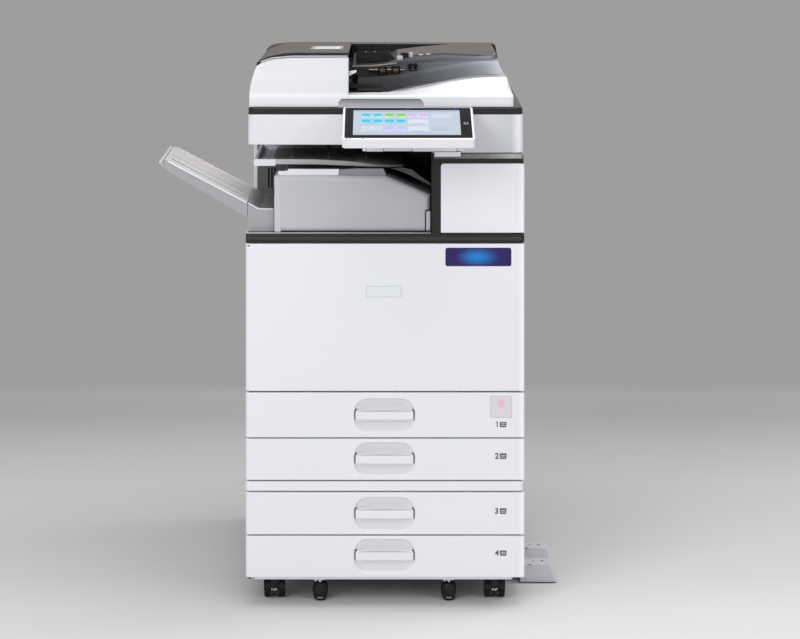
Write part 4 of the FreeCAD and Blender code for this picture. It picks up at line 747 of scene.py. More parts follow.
# thin pale lip along the front edge under the guides
rows = []
xs = [-69.5, -55, -40, -20, -5, 6, 16, 26]
for y, dz in ((97.0, 0.25), (95.6, 0.30), (95.1, -0.3), (95.1, -2.2), (95.7, -2.7), (96.6, -2.7)):
    rows.append([(x, y + (0 if x < 0 else (x / 26.0) ** 2 * 0.6), rest_z(x) + dz - 0.3) for x in xs])
LIP = surface("tray_lip_khaki", (128, 124, 112), rough=0.45, wear=0.08)
grid("original_tray_lip", rows, LIP, "original_tray", sharp=50)
rows = []
xs = [6, 14, 22, 27, 36, 46, 56, 64]
for dy, dz in ((4.0, 0.1), (3.4, 0.8), (0.6, 0.8), (0.0, 0.1)):
    rows.append([(x, interp(x, [(6, 98), (14, 118), (22, 142), (28, 160), (46, 205), (66, 230)]) - 5.5 + dy * 1.3, rest_z(x) + dz) for x in xs])
grid("original_rest_bead", rows, LIP, "original_tray", sharp=50)
# sheet-size catch beside the front guide
rbox("catch_pale", 27, 40, 158, 164, rest_z(27) - 0.5, 1150.5, STAB, "original_tray", bevel=1.0)
rbox("catch_dark", 35.5, 52.5, 186, 194, rest_z(36) - 0.5, 1155.0, BLACK, "original_tray", bevel=1.2)
rbox("catch_rim", 54, 62, 192, 198, rest_z(54) - 0.5, 1155.5, STAB, "original_tray", bevel=1.0)
for k in range(5):
    film("tray_scale_%d" % k, ["original_tray"], "top", 64, 70 if k % 2 else 76, 240 + 15 * k, 241.2 + 15 * k, LABEL, "original_tray", off=1.5, na=2, nb=1)
for k, (xa, ya, zz) in enumerate(((-40, 150.2, 1160.1), (-22, 150.2, 1160.1))):
    lathe("guide_stud_%d" % k, [(0, 0), (1.5, 0), (1.5, 0.7), (1.0, 1.1), (0, 1.2)], (xa, ya, zz), "z", surface("guide_stud_pink_%d" % k, (208, 160, 150), rough=0.4), "front_side_guide", n=16)

# white paper-stop tab at the front corner of the inlet
prism("feeder_tab", "xz", [(-76.2, 1118.6), (-76.2, 1129.0), (-59.8, 1131.4, 0.7), (-59.4, 1127.6, 0.7)], 21, 31, WHITE_SOFT, "feeder", bevel=0.35)

# exit slots, pressing strips and rollers on the inner wall
for k, (z0, z1, xa, xb) in enumerate([(1087.8, 1096.0, -75.8, -3), (1075.5, 1082.0, -75.8, -4.5)]):
    prism("exit_flap_%d" % k, "xz", [(xa, z0 - 0.5), (xb - 8, z0), (xb, z0 + 1.5, 1), (xb - 1, z1 - 1.2, 1), (xa, z1 + 0.4)], 88, 93, DEEP, "feeder", bevel=0.4)
    prism("exit_flap_arm_%d" % k, "xz", [(xa, z0 - 0.5), (-58, z0), (-58, z1 - 1.2), (xa, z1)], 93, 150, DEEP, "feeder", bevel=0.4)
for k in range(4):
    yy = 120 + 82 * k
    lathe("exit_roller_%d" % k, [(0, -9), (6.6, -9), (7.2, -8.4), (7.2, 8.4), (6.6, 9), (0, 9)], (-66.5, yy, 1083.6), "y", RUBBER, "feeder", n=28)
for k, (xa, xb) in enumerate([(-13, 3), (18, 34)]):
    lathe("separation_roller_%d" % k, [(0, -6.5), (7.4, -6.5), (8.2, -5.7), (8.2, 5.7), (7.4, 6.5), (0, 6.5)], ((xa + xb) / 2, 512.5, 1083.6), "x", BRASS, "feeder", n=28)
    rbox("roller_bracket_%d" % k, xa - 2, xb + 2, 512, 519.8, 1078, 1096, BLACK, "feeder", bevel=0.8)
lathe("roller_shaft", [(0, -36), (2.2, -36), (2.2, 48), (0, 48)], (0, 516, 1087.5), "x", STEEL, "feeder", n=16)
# sensor flag and hinge cluster between tray and rear wall
rbox("exit_throat", -75.9, -6, 66.5, 110, 1073, 1074.5, DEEP, "feeder", bevel=0.3)
rbox("tray_hinge_block", 54, 76, 506, 519.6, 1092, 1103, BLACK, "feeder", bevel=1.2)
for k in range(3):
    prism("sensor_flag_%d" % k, "yz", [(504, 1088, 1), (516, 1085, 1), (518, 1099, 2), (507, 1103, 2)], 56 + 8 * k, 59 + 8 * k, STEEL if k == 1 else BLACK, "feeder", bevel=0.4)
# output plate: a raised white step on the delivery surface
ZF = [(-76, 1068), (-20, 1072), (40, 1079), (100, 1090), (160, 1101), (210, 1108), (262, 1109.5)]


def zf(x):
    return sum(interp(x + 14 * k / 6.0, ZF) for k in range(-6, 7)) / 13.0


def yb(x):
    """Back edge of the white plate: it runs slantwise, with a notch half way."""
    return interp(x, [(-6, 92), (40, 146), (88, 208), (92, 182), (130, 163), (172, 152), (225, 172), (262, 176)])


rows = []
xs = [-6, -3, 4, 14, 26, 40, 55, 70, 80, 86, 88, 90, 92, 96, 106, 120, 134, 150, 166, 182, 198, 214, 230, 246, 258, 261]
for t in [0.0, 0.12, 0.3, 0.5, 0.7, 0.85, 0.95, 0.985, 1.0]:
    row = []
    for x in xs:
        y = 66.2 + (yb(x) - 66.2) * t
        rise = 3.2 * min(1, (x + 6) / 26.0) * (1 - max(0, (x - 205) / 57.0) * 0.7)
        edge = 0 if t < 0.95 else (0.6 if t < 0.98 else (1.8 if t < 0.99 else 4.0))
        row.append((x, y, zf(x) + 0.3 + max(rise - edge, -0.6)))
    rows.append(row)
grid("output_step_plate", rows, OUT_WHITE, "feeder", sharp=40)
# long low ribs that carry the sheets over the plate
for k, (x0, y0, x1, y1) in enumerate(((36, 80, 226, 150), (96, 84, 246, 128))):
    rows = []
    for j in range(0, 17):
        t = j / 16.0
        x = x0 + (x1 - x0) * t; y = y0 + (y1 - y0) * t
        b = zf(x) + 0.3 + 3.2 * min(1, (x + 6) / 26.0) * (1 - max(0, (x - 205) / 57.0) * 0.7)
        h = 1.3 * min(1, 6 * t, 6 * (1 - t) + 0.05)
        rows.append([(x, y - 2.0, b - 0.2), (x, y - 0.8, b + h), (x, y + 0.8, b + h), (x, y + 2.0, b - 0.2)])
    grid("output_rib_%d" % k, rows, OUT_WHITE, "feeder", sharp=50)

# ------------------------------------------------------------------ operation panel
TILT = math.radians(18.194)
PX = 49.3


def PL(lx, ly, lz):
    return (PX + lx, -10 + ly * math.cos(TILT) - lz * math.sin(TILT), 1055 + ly * math.sin(TILT) + lz * math.cos(TILT))


def panel_prism(name, pts, lz0, lz1, mat, bevel=0.0, seg=2, rseg=5):
    q = rounded(pts, rseg)
    n = len(q)
    verts = [PL(u, v, lz0) for u, v in q] + [PL(u, v, lz1) for u, v in q]
    faces = [list(range(n))[::-1], list(range(n, 2 * n))] + [(i, (i + 1) % n, n + (i + 1) % n, n + i) for i in range(n)]
    return make(name, verts, faces, mat, "operation_panel", bevel=bevel, seg=seg)


paint("panel_housing", WHITE)
paint("panel_glass", PANEL_BLACK)
SX0, SX1, SY0, SY1 = -114.0, 107.9, -134.0, -12.0
panel_prism("display", rect(SX0, SX1, SY0, SY1, 0.8), -0.05, 0.10, lit("display_ground", (189, 200, 214), 0.95))
panel_prism("display_edge", rect(SX0 - 0.9, SX1 + 0.9, SY0 - 0.9, SY1 + 0.9, 1.2), -0.10, 0.05, INK)
panel_prism("display_bar", rect(SX0 + 0.5, SX1 - 0.5, SY1 - 7.5, SY1 - 0.5, 0.4), 0.10, 0.14, lit("display_bar_tone", (168, 181, 198), 0.95))
tile_cols = [(16.6, 60.2), (65.3, 108.9), (113.7, 156.8), (162.4, 205.9)]
tile_rows = [(16.6, 38.8), (46.2, 69.3), (78.5, 106.3)]
CY, GN, LI = (58, 190, 222), (128, 200, 92), (202, 178, 226)
PALE, LAV = (205, 214, 226), (186, 186, 228)
lits = {}


def L_(c, s=1.0):
    if c not in lits:
        lits[c] = lit("tile_%d_%d_%d" % c, c, s)
    return lits[c]


def tile(i, j, top, body):
    (a, b), (c, d) = tile_cols[i], tile_rows[j]
    x0, x1, y1, y0 = SX0 + a, SX0 + b, SY1 - c, SY1 - d
    panel_prism("tile_%d_%d" % (i, j), rect(x0, x1, y0, y1, 2.2), 0.10, 0.16, L_(body))
    if top:
        h = (y1 - y0) * 0.60
        panel_prism("tile_head_%d_%d" % (i, j), rect(x0 + 0.3, x1 - 0.3, y1 - h, y1 - 0.3, 1.8), 0.16, 0.20, L_(top))
    # plain pictogram: a small card shape
    cx, cy = (x0 + x1) / 2, y1 - (y1 - y0) * 0.34
    panel_prism("tile_card_%d_%d" % (i, j), rect(cx - 3.2, cx + 3.2, cy - 2.2, cy + 2.2, 0.6), 0.20, 0.24, L_((206, 222, 236)))
    panel_prism("tile_rule_%d_%d" % (i, j), rect(x0 + 8, x1 - 8, y0 + 2.4, y0 + 3.6, 0.3), 0.20, 0.24, L_((120, 134, 156)))


tile(0, 0, CY, (176, 220, 236)); tile(1, 0, GN, (196, 224, 190)); tile(2, 0, LI, (216, 206, 234))
tile(0, 1, CY, (150, 214, 232)); tile(1, 1, CY, (150, 214, 232)); tile(2, 1, None, PALE)
tile(0, 2, None, (196, 208, 220)); tile(1, 2, LAV, (200, 202, 232)); tile(2, 2, None, PALE)
a, b = tile_cols[3]
for k in range(4):
    y = SY1 - 82 - 6.5 * k
    panel_prism("status_line_%d" % k, rect(SX0 + a, SX0 + b - (0, 10, 4, 16)[k], y - 1.0, y, 0.3), 0.10, 0.14, L_((150, 164, 184)))
panel_prism("status_box", rect(SX0 + a, SX0 + b, SY1 - 39, SY1 - 17, 1.6), 0.10, 0.13, L_((196, 206, 220)))
panel_prism("tile_underline", rect(SX0 + 115, SX0 + 155, SY1 - 107.6, SY1 - 106.2, 0.4), 0.16, 0.2, L_((96, 128, 200)))
panel_prism("display_foot", rect(SX0 + 0.5, SX1 - 0.5, SY0 + 0.5, SY0 + 6.0, 0.4), 0.10, 0.14, lit("display_foot_tone", (176, 188, 204), 0.95))
# contactless reading mark: a plain open diamond, and a status light
UI_WHITE = lit("mark_white", (225, 228, 232), 0.9)
for k, (cx, s) in enumerate([(119.5, 4.6), (119.5, 4.6)]):
    pass
cx, cy, r, t = 119.7, -77.0, 5.6, 1.2
for k in range(4):
    a0 = math.pi / 2 * k
    p = [(cx + r * math.cos(a0 + q), cy + r * math.sin(a0 + q)) for q in (0.16, math.pi / 2 - 0.16)]
    p2 = [(cx + (r - t * 1.3) * math.cos(a0 + q), cy + (r - t * 1.3) * math.sin(a0 + q)) for q in (math.pi / 2 - 0.16, 0.16)]
    panel_prism("reader_mark_%d" % k, p + p2, 0.0, 0.12, UI_WHITE)
panel_prism("status_light", rect(96.6, 101.0, -4.6, -3.2, 0.6), 0.0, 0.12, lit("status_blue", (60, 140, 235), 1.6))
panel_prism("motion_sensor", rect(-6, 6, -6.8, -3.6, 1.4), 0.0, 0.1, surface("sensor_window", (48, 30, 36), rough=0.08, coat=0.5, wear=0))
# printed key marks on the white rim
for k, lx in enumerate((-127.0, -120.5, -94.0)):
    panel_prism("rim_mark_%d" % k, rect(lx - 1.6, lx + 1.6, -156.2, -152.6, 0.8), 1.0, 1.30, MID_GREY)
# side port cover on the right-hand edge of the housing
prism("panel_port_cover", "yz", [tuple(PL(0, -40, -12)[1:]) + (0.8,), tuple(PL(0, -12, -12)[1:]) + (0.8,), tuple(PL(0, -12, -4)[1:]) + (0.8,), tuple(PL(0, -40, -4)[1:]) + (0.8,)], PX + 136.1, PX + 136.7, GREY, "operation_panel", bevel=0.25)


# ------------------------------------------------------------------ panel bracket lugs, scanner housing details
# painted shade and highlight: the scanner front darkens towards the right, beside the panel, then brightens at its
# rounded right end
SCAN_SHADE_HIGHLIGHT = ramp_material("scanner_front_white", [(0.0, (222, 223, 227)), (0.45, (218, 219, 223)), (0.72, (212, 213, 217)), (0.93, (197, 199, 204)), (0.957, (194, 196, 201)), (0.975, (220, 222, 226)), (0.99, (238, 240, 244))], 0, -288, 293, rough=0.36)
paint("scanner_housing", WHITE, lambda c, n: SCAN_SHADE_HIGHLIGHT if n.y < -0.5 and c[1] < 3 else WHITE_SIDE if abs(n.x) > 0.8 or n.y > 0.5 else WHITE)
for k, (x0, x1) in enumerate(((-37.5, -3.0), (58.5, 151.0))):
    prism("bracket_lug_%d" % k, "xz", [(x0, 966), (x1, 966), (x1, 985, 1.5), (x0, 985, 1.5)], -30.4, -27.4, WHITE, "machine", bevel=0.8)
    prism("bracket_gap_%d" % k, "xz", [(x0 - 1.2, 965), (x1 + 1.2, 965), (x1 + 1.2, 986.2, 2), (x0 - 1.2, 986.2, 2)], -28.3, -27.9, MID_GREY, "machine")
prism("bracket_shadow_slot", "xz", rect(-2, 57, 973, 981, 2), -28.35, -27.9, GREY, "machine", bevel=0.2)
for k, x in enumerate((-41, 155)):
    lathe("bracket_screw_%d" % k, [(0, 0), (2.0, 0), (2.2, 0.5), (2.2, 1.2), (0, 1.2)], (x, -28.6, 975), "y", STEEL, "machine", n=20)

# ------------------------------------------------------------------ dark trim: ridge between two dark lines, a painted highlight on the band's top, lighter chamfer over the right panel whose tone brightens to the right as painted light
prism("band_ridge", "xy", rect(-291.0, 291.0, -1.3, 6, 2.2), 775.2, 781.8, DARK_LIGHT, "machine", bevel=1.0)
# painted highlight: a light strip on the dark band's top face, lit from above
prism("band_upper_line", "xy", rect(-292.0, 98.0, 0.2, 11.6, 0.6), 788.9, 789.45, surface("band_upper_tone", (206, 207, 211), rough=0.3, wear=0.05), "machine", bevel=0.2)
CHAM_PAINTED_LIGHT = ramp_material("column_chamfer_tone", [(0.0, (104, 102, 100)), (0.6, (132, 129, 127)), (0.9, (170, 168, 166)), (1.0, (146, 144, 142))], 0, 104, 291, rough=0.3)
make("column_chamfer", [(103, -3.0, 947.4), (291.5, -3.0, 947.4), (291.5, -0.8, 957.7), (106, -0.8, 957.7), (103, 1, 947.2), (291.5, 1, 947.2), (291.5, 3, 957.4), (106, 3, 957.4)],
     [(0, 1, 2, 3), (4, 7, 6, 5), (0, 4, 5, 1), (1, 5, 6, 2), (2, 6, 7, 3), (3, 7, 4, 0)], CHAM_PAINTED_LIGHT, "machine", bevel=0.5)
prism("column_gap", "xz", rect(100.4, 103.6, 792, 946), -0.75, 0.5, DEEP, "machine", bevel=0.2)
# the white panel right of the column, with its own soft edges
prism("upper_right_panel_face", "xz", [(119.0, 790.8, 1.5), (293.2, 790.8, 1.5), (293.2, 936.6, 3), (119.0, 936.6, 6)], -1.9, 1.4, WHITE, "machine", bevel=2.2, seg=4)

# ------------------------------------------------------------------ front door, badge, label
prism("badge_plate", "xz", rect(-38.6, 36.1, 654.4, 678.3, 2.0), -0.55, 0.4, surface("badge_silver", (208, 210, 215), rough=0.28, wear=0.04, coat=0.2), "front_door", bevel=0.25)
prism("badge_frame", "xz", rect(-37.2, 34.7, 655.8, 676.9, 1.4), -0.70, -0.4, surface("badge_face", (226, 228, 232), rough=0.34, wear=0.0), "front_door", bevel=0.12)
BLUE_LABEL = glow_patch("blue_label_film", (34, 16, 88), (0, 126, 206), (196, 0, 739.3), (52, 24), power=1.0)
prism("blue_label", "xz", rect(128.6, 267.9, 719.8, 758.8, 4.5), -0.35, 0.4, BLUE_LABEL, "front_door", bevel=0.12)
lathe("door_dot", [(0, 0), (2.2, 0), (2.2, 0.3), (0, 0.3)], (-286.5, -0.1, 763.0), "y", MID_GREY, "front_door", n=20)

# ------------------------------------------------------------------ paper trays
TR = {1: (358, 452.6, 404.6), 2: (268, 355.2, 311.9), 3: (153, 242, 196), 4: (62.5, 150, 107.7)}
NUM = {1: (421.6, 427.2), 2: (452.8, 458.9), 3: (507.8, 513.9), 4: (550.0, 555.7)}
SHADOW_LINE = surface("recess_line", (88, 89, 94), rough=0.6, wear=0.0)
PAPER_COL = surface("paper_stack", (243, 243, 240), rough=0.9, tone_var=0.015, grain=0.5, grain_scale=30, brushed=(1, 1, 120), wear=0.0)


def zpx(y):
    return 1588 - (y + 145) * 5000 / 2368.0


def tray_rule(n):
    z0, z1, zg = TR[n]

    def rule(c, nn):
        x, y, z = c
        if y > 19 and nn.y > 0.5: return MID_GREY
        if abs(x) < 64 and zg - 36 < z < zg + 36 and y > 7 and not (abs(x) < 61.5 and y < 17.2 and abs(z - zg) < 10.5):
            return POCKET_GLOW
        return WHITE
    return rule


# painted light: the tray pocket emits a pale glow that lifts the shade in its hollow
POCKET_GLOW = surface("tray_pocket", (150, 151, 154), rough=0.5, tone_var=0.01, wear=0.0, emission=((230, 231, 235), 0.50))
for n in (1, 2, 3, 4):
    z0, z1, zg = TR[n]
    b = "paper_tray_%d" % n
    paint("paper_tray_%d_front" % n, WHITE, tray_rule(n))
    # dark outline of the gap round the grip bar
    for sx in (-1, 1):
        prism("tray_%d_grip_gap_%s" % (n, "l" if sx < 0 else "r"), "xz", [(sx * 61.35, zg - 9), (sx * 63.3, zg - 9), (sx * 63.9, zg + 6), (sx * 62.6, zg + 11.8), (sx * 58.5, zg + 12.4), (sx * 58.5, zg + 10.6), (sx * 61.35, zg + 10.2)], 2.2, 16, SHADOW_LINE, b)
    # number and a plain sheet-and-cassette pictogram
    za, zb = zpx(NUM[n][1]), zpx(NUM[n][0])
    if n == 1:
        h1 = zb - za
        prism("tray_1_number", "xz", [(237.2, za), (239.2, za), (239.2, zb), (237.6, zb), (235.2, za + h1 * 0.84), (235.2, za + h1 * 0.70), (237.2, za + h1 * 0.80)], -0.15, 0.0, INK, b)
    else:
        glyph("tray_%d_number" % n, str(n), 233.2, 0.0, za, zb - za, INK, b)
    x0 = 243.5
    prism("tray_%d_icon" % n, "xz", [(x0 + 0.6, za, 1.2), (x0 + 13.4, za, 1.2), (x0 + 14.4, zb - 1.0, 1.2), (x0 - 0.4, zb - 1.0, 1.2)], -0.13, 0.02, INK, b)
    for k in range(2):
        prism("tray_%d_icon_line_%d" % (n, k), "xz", rect(x0 + 2.2, x0 + 11.8, za + 3.2 + 3.6 * k, za + 4.5 + 3.6 * k, 0.3), -0.16, 0.0, LABEL, b)
    # stack of sheets on the lift plate
    h = (30, 42, 24, 36)[n - 1]
    prism("tray_%d_paper" % n, "xy", rect(-201, 202, 116, 434, 0.0), z0 + 13.3, z0 + 13.3 + h, PAPER_COL, b, bevel=0.15, seg=1)
    # loose top sheets, turned by a hair
    for k in range(2):
        a = math.radians(0.18 * (k + 1))
        q = [(-201, 116), (202, 116), (202, 434), (-201, 434)]
        q = [(x * math.cos(a) - (y - 275) * math.sin(a), 275 + x * math.sin(a) + (y - 275) * math.cos(a)) for x, y in q]
        prism("tray_%d_sheet_%d" % (n, k), "xy", q, z0 + 13.35 + h + 0.35 * k, z0 + 13.6 + h + 0.35 * k, PAPER_COL, b)
    # green release clips on the fences, size scale along the tray
    rbox("tray_%d_clip_front" % n, -8, 20, 105.4, 107.6, z0 + 56, z0 + 66, GREEN, b, bevel=0.6)
    rbox("tray_%d_clip_end" % n, -209.5, -205.5, 262, 290, z0 + 50, z0 + 60, GREEN, b, bevel=0.6)
    for k in range(8):
        rbox("tray_%d_scale_%d" % (n, k), 206.5, 216, 130 + 34 * k, 131.4 + 34 * k, z0 + 7.0, z0 + 7.5, LABEL, b, bevel=0.1, seg=1)
# square sticker on tray 1
xs0, xs1, zs0, zs1 = (491.3 - 385.1) * 5000 / 2368.0, (512 - 385.1) * 5000 / 2368.0, zpx(417.3), zpx(396.5)
prism("tray_1_sticker", "xz", rect(xs0, xs1, zs0, zs1, 0.8), -0.20, 0.3, glow_patch("sticker_film_2", (215, 212, 216), (229, 180, 188), ((xs0 + xs1) / 2, 0, (zs0 + zs1) / 2 + 8), (14, 14), power=1.0), "paper_tray_1", bevel=0.1)
prism("tray_1_sticker_rim", "xz", rect(xs0 - 0.7, xs1 + 0.7, zs0 - 0.7, zs1 + 0.7, 1.0), -0.08, 0.3, surface("sticker_rim", (170, 168, 174), rough=0.5, wear=0), "paper_tray_1")

# ------------------------------------------------------------------ output cavity: finisher, latch, upper bin
# the finisher's grey is lighter at its left edge, a painted highlight on the rounded corner, and darkens slightly
# towards the right
FIN = ramp_material("finisher_grey", [(0.0, (196, 197, 201)), (0.03, (186, 187, 191)), (0.6, (174, 175, 180)), (1.0, (170, 171, 176))], 0, -234, 98, rough=0.42)
paint("finisher_body", GREY, lambda c, n: WHITE if c[0] < -226 and n.x < -0.4 else (DARK if c[2] < 792 else FIN))
paint("finisher_door", GREY, lambda c, n: FIN)
# painted highlight: a lighter lip along the finisher door's rounded left edge
LIP = surface("finisher_lip", (192, 193, 197), rough=0.4, wear=0.04)
prism("finisher_left_lip", "xz", [(-233.0, 790.5, 1.5), (-219.5, 790.5), (-219.5, 903), (-233.0, 903, 3)], 11.3, 13, LIP, "finisher_door", bevel=0.6)
prism("finisher_side_notch", "xz", rect(-234.9, -233.6, 866, 884, 0.3), 13, 22, BLACK, "finisher_door")
paint("finisher_latch", surface("latch_grey", (190, 191, 195), rough=0.4, wear=0.05))
prism("latch_gap", "xz", [(85.4, 790.4, 2), (98.2, 790.4), (98.2, 838.2, 2), (85.4, 838.2, 5)], 11.55, 12.4, surface("latch_shadow", (46, 46, 48), rough=0.6, wear=0), "finisher_door")
# painted light: the finisher's top lip is made bright where it lies in the bin's shade, as if lit
FTOP_LIT = surface("finisher_top_white", (226, 226, 228), rough=0.4, wear=0.03)
prism("finisher_top_lip", "xz", [(-226, 908.4), (-98, 908.4), (-96, 922.0, 1), (-204, 922.0, 1), (-206, 917.5, 1), (-226, 917.5, 2)], 22.0, 28.8, FTOP_LIT, "finisher_door", bevel=1.2)
prism("finisher_top_step", "xz", [(-97.5, 908.4), (4, 908.4), (-2, 922.8, 3), (-60, 922.8), (-97.5, 920.2)], 23.0, 28.8, surface("finisher_top_grey", (136, 136, 139), rough=0.4, wear=0.03), "finisher_door", bevel=0.8)
prism("finisher_top_slot", "xz", rect(-172, -98, 922.0, 924.0, 0.4), 23.4, 28.4, DEEP, "finisher_door", bevel=0.1)
lathe("latch_pivot", [(0, -0.6), (1.6, -0.6), (1.9, -0.2), (1.9, 0.6), (0, 0.6)], (94.0, 11.1, 797.5), "y", STEEL, "finisher_latch", n=18)
# a seam film on the finisher's top, switched off: the next line draws nothing
film("finisher_seam_a", ["finisher_body", "finisher_door"], "front", -190, 60, 893.4, 894.2, MID_GREY, "finisher_body" if False else "machine", off=0.1, na=10, nb=1) if False else None

BIN_END = surface("bin_end_white", (222, 224, 234), rough=0.4, wear=0.03)
# painted shade: the bin darkens towards its right end, deep in the cavity; its ribs share the ramp
BIN_SHADE_RAMP = ramp_material("bin_silver", [(0.0, (186, 186, 188)), (0.35, (166, 166, 168)), (0.7, (140, 140, 142)), (0.9, (84, 84, 86)), (1.0, (40, 40, 42))], 0, -230, 40, rough=0.34)
paint("one_bin_tray", BIN_SHADE_RAMP, lambda c, n: BIN_END if c[0] < -231 else BIN_SHADE_RAMP)
paint("output_cavity_liner", CAVITY, lambda c, n: BLACK if c[0] > 5 and 60 < c[1] < 292 and c[2] > 879 else CAVITY)
# paper exit of the machine into the bin: flap, star wheels and a seam in the back wall
for k in range(5):
    yy = 80 + 46 * k
    lathe("exit_star_%d" % k, [(0, -3), (7.5, -3), (8.2, -2.2), (8.2, 2.2), (7.5, 3), (0, 3)], (4.5, yy, 897), "y", RUBBER, "machine", n=24)
for k, x in enumerate((-200, -120, -40)):
    rbox("bin_rib_%d" % k, x - 1.2, x + 1.2, 60, 296, 940.6, 942.2, BIN_SHADE_RAMP, "machine", bevel=0.4)
rbox("cavity_seam_v", -196, -194.8, 323.4, 324.8, 800, 960, BLACK, "machine", bevel=0.2)
rbox("cavity_seam_h", -275, 96, 323.4, 324.8, 905.0, 906.2, BLACK, "machine", bevel=0.2)
for k in range(9):
    rbox("cavity_louvre_%d" % k, -262 + 7 * k, -258.5 + 7 * k, 323.2, 324.6, 840, 885, BLACK, "machine", bevel=0.4)
rbox("bin_full_lever", -150, -118, 180, 196, 957, 968, BLACK, "machine", bevel=1.5)
prism("bin_full_flag", "xz", [(-138, 958), (-130, 958), (-112, 944.5, 1), (-118, 943.2, 1)], 184, 192, BLACK, "machine", bevel=0.5)

# ------------------------------------------------------------------ side output tray
ca, sa = math.cos(math.radians(27.7)), math.sin(math.radians(27.7))


def along(s, n):
    return (-291.2 - s * ca + n * sa, 850.4 + s * sa + n * ca)


# painted shade: the tray top is darker towards its tip, where the lamps light it most
TOPT_SHADE = ramp_material("side_tray_top", [(0.0, (206, 203, 204)), (0.4, (222, 218, 219)), (1.0, (226, 222, 223))], 0, -470, -291, rough=0.45)
# painted shade: the tray's side faces are a darker grey than its top, as if lit from above
SIDET_SHADE = surface("side_tray_side", (162, 162, 165), rough=0.45, tone_var=0.02, wear=0.06)
BASE_TOP = ramp_material("base_top_shade", [(0.0, (176, 174, 174)), (0.3, (128, 126, 126)), (1.0, (92, 91, 92))], 0, -291, -236)
paint("side_output_tray", TOPT_SHADE, lambda c, n: SIDET_SHADE if abs(n.y) > 0.6 else (BASE_TOP if c[0] > -290.6 and n.z > 0.2 else TOPT_SHADE))
paint("side_tray_extension", TOPT_SHADE, lambda c, n: TOPT_SHADE)


def tray_strip(name, s0, s1, n0, n1, y0, y1, mat, body="machine", bevel=0.5):
    q = [along(s0, n0), along(s1, n0), along(s1, n1), along(s0, n1)]
    return prism(name, "xz", q, y0, y1, mat, body, bevel=bevel)


tray_strip("side_tray_front_rail", 1.0, 190, -2.0, 1.6, 20.4, 24.2, surface("rail_light", (224, 222, 223), rough=0.4, wear=0.05))
tray_strip("side_tray_rear_rail", 1.0, 190, -2.0, 1.6, 251.8, 255.6, TOPT_SHADE)
# painted shade: a thin dark strip for the shade of the step halfway across the tray
CREASE_SHADE = surface("crease_dark", (84, 82, 80), rough=0.6, wear=0)
tray_strip("side_tray_crease", 4, 186, -0.3, 0.25, 78, 79.6, CREASE_SHADE, bevel=0)
# painted highlight: a light grey ridge along the base's top edge
prism("side_base_ridge", "xz", [(-289.8, 851.4, 1), (-268.0, 838.6, 4), (-236, 838.2), (-236, 835.6), (-269, 836.0, 4), (-289.8, 848.6)], 22.8, 25.4, surface("base_edge_light", (222, 221, 223), rough=0.4, wear=0.04), "machine", bevel=0.5)
paint_base = None

# ------------------------------------------------------------------ inner cover behind the front door
TG = surface("inner_cover_grey", (196, 197, 200), rough=0.45, tone_var=0.02, wear=0.05)
paint("inner_front_cover", TG)
TONER_WHITE = surface("toner_white", (214, 215, 214), rough=0.4, tone_var=0.03, wear=0.06)
paint("toner_bottle", TONER_WHITE, lambda c, n: SATIN_BLACK if c[1] < 35 else TONER_WHITE)
prism("toner_cap_grip", "xz", rect(-136, -124, 664, 716, 5), 21.0, 27, GREEN, "toner_bottle", bevel=1.0)
lathe("toner_collar", [(47.6, 0), (51.5, 0), (52.5, 1.0), (52.5, 4.2), (47.6, 4.2), (47.2, 2.0)], (-130, 23.2 - 0.6, 690), "y", MID_GREY, "machine", n=64)
prism("drum_unit_handle", "xz", rect(112, 150, 600, 656, 6), 21.4, 25.6, GREEN, "machine", bevel=1.6)
for k in range(3):
    prism("inner_guide_card_%d" % k, "xz", rect(-262 + 46 * k, -224 + 46 * k, 496, 548, 1.5), 25.4, 26.2, LABEL, "machine", bevel=0.1)
    for q in range(4):
        prism("inner_card_line_%d_%d" % (k, q), "xz", rect(-258 + 46 * k, -228 + 46 * k - 5 * (q % 2), 540 - 11 * q, 542 - 11 * q), 25.25, 25.5, LABEL_LINE, "machine")
prism("waste_bottle_cover", "xz", rect(-40, 80, 480, 590, 8), 23.4, 26.4, TG, "machine", bevel=1.4)
prism("waste_bottle_pull", "xz", rect(0, 40, 492, 506, 4), 22.4, 24.2, GREEN, "machine", bevel=0.8)
for k, (x, z) in enumerate(((-276, 748), (272, 748), (-276, 484), (272, 484), (60, 748), (-40, 640))):
    lathe("inner_screw_%d" % k, [(0, 0), (3.0, 0), (3.6, 0.8), (3.6, 2.2), (0, 2.2)], (x, 24.2, z), "y", STEEL, "machine", n=22)
    rbox("inner_screw_slot_%d" % k, x - 2.2, x + 2.2, 23.95, 24.4, z - 0.4, z + 0.4, BLACK, "machine", bevel=0.05, seg=1)
# lining pattern on the back of the door
prism("door_note_card", "xz", rect(-150, -40, 600, 690, 3), 3.6 + 0.9, 4.7, LABEL, "front_door")

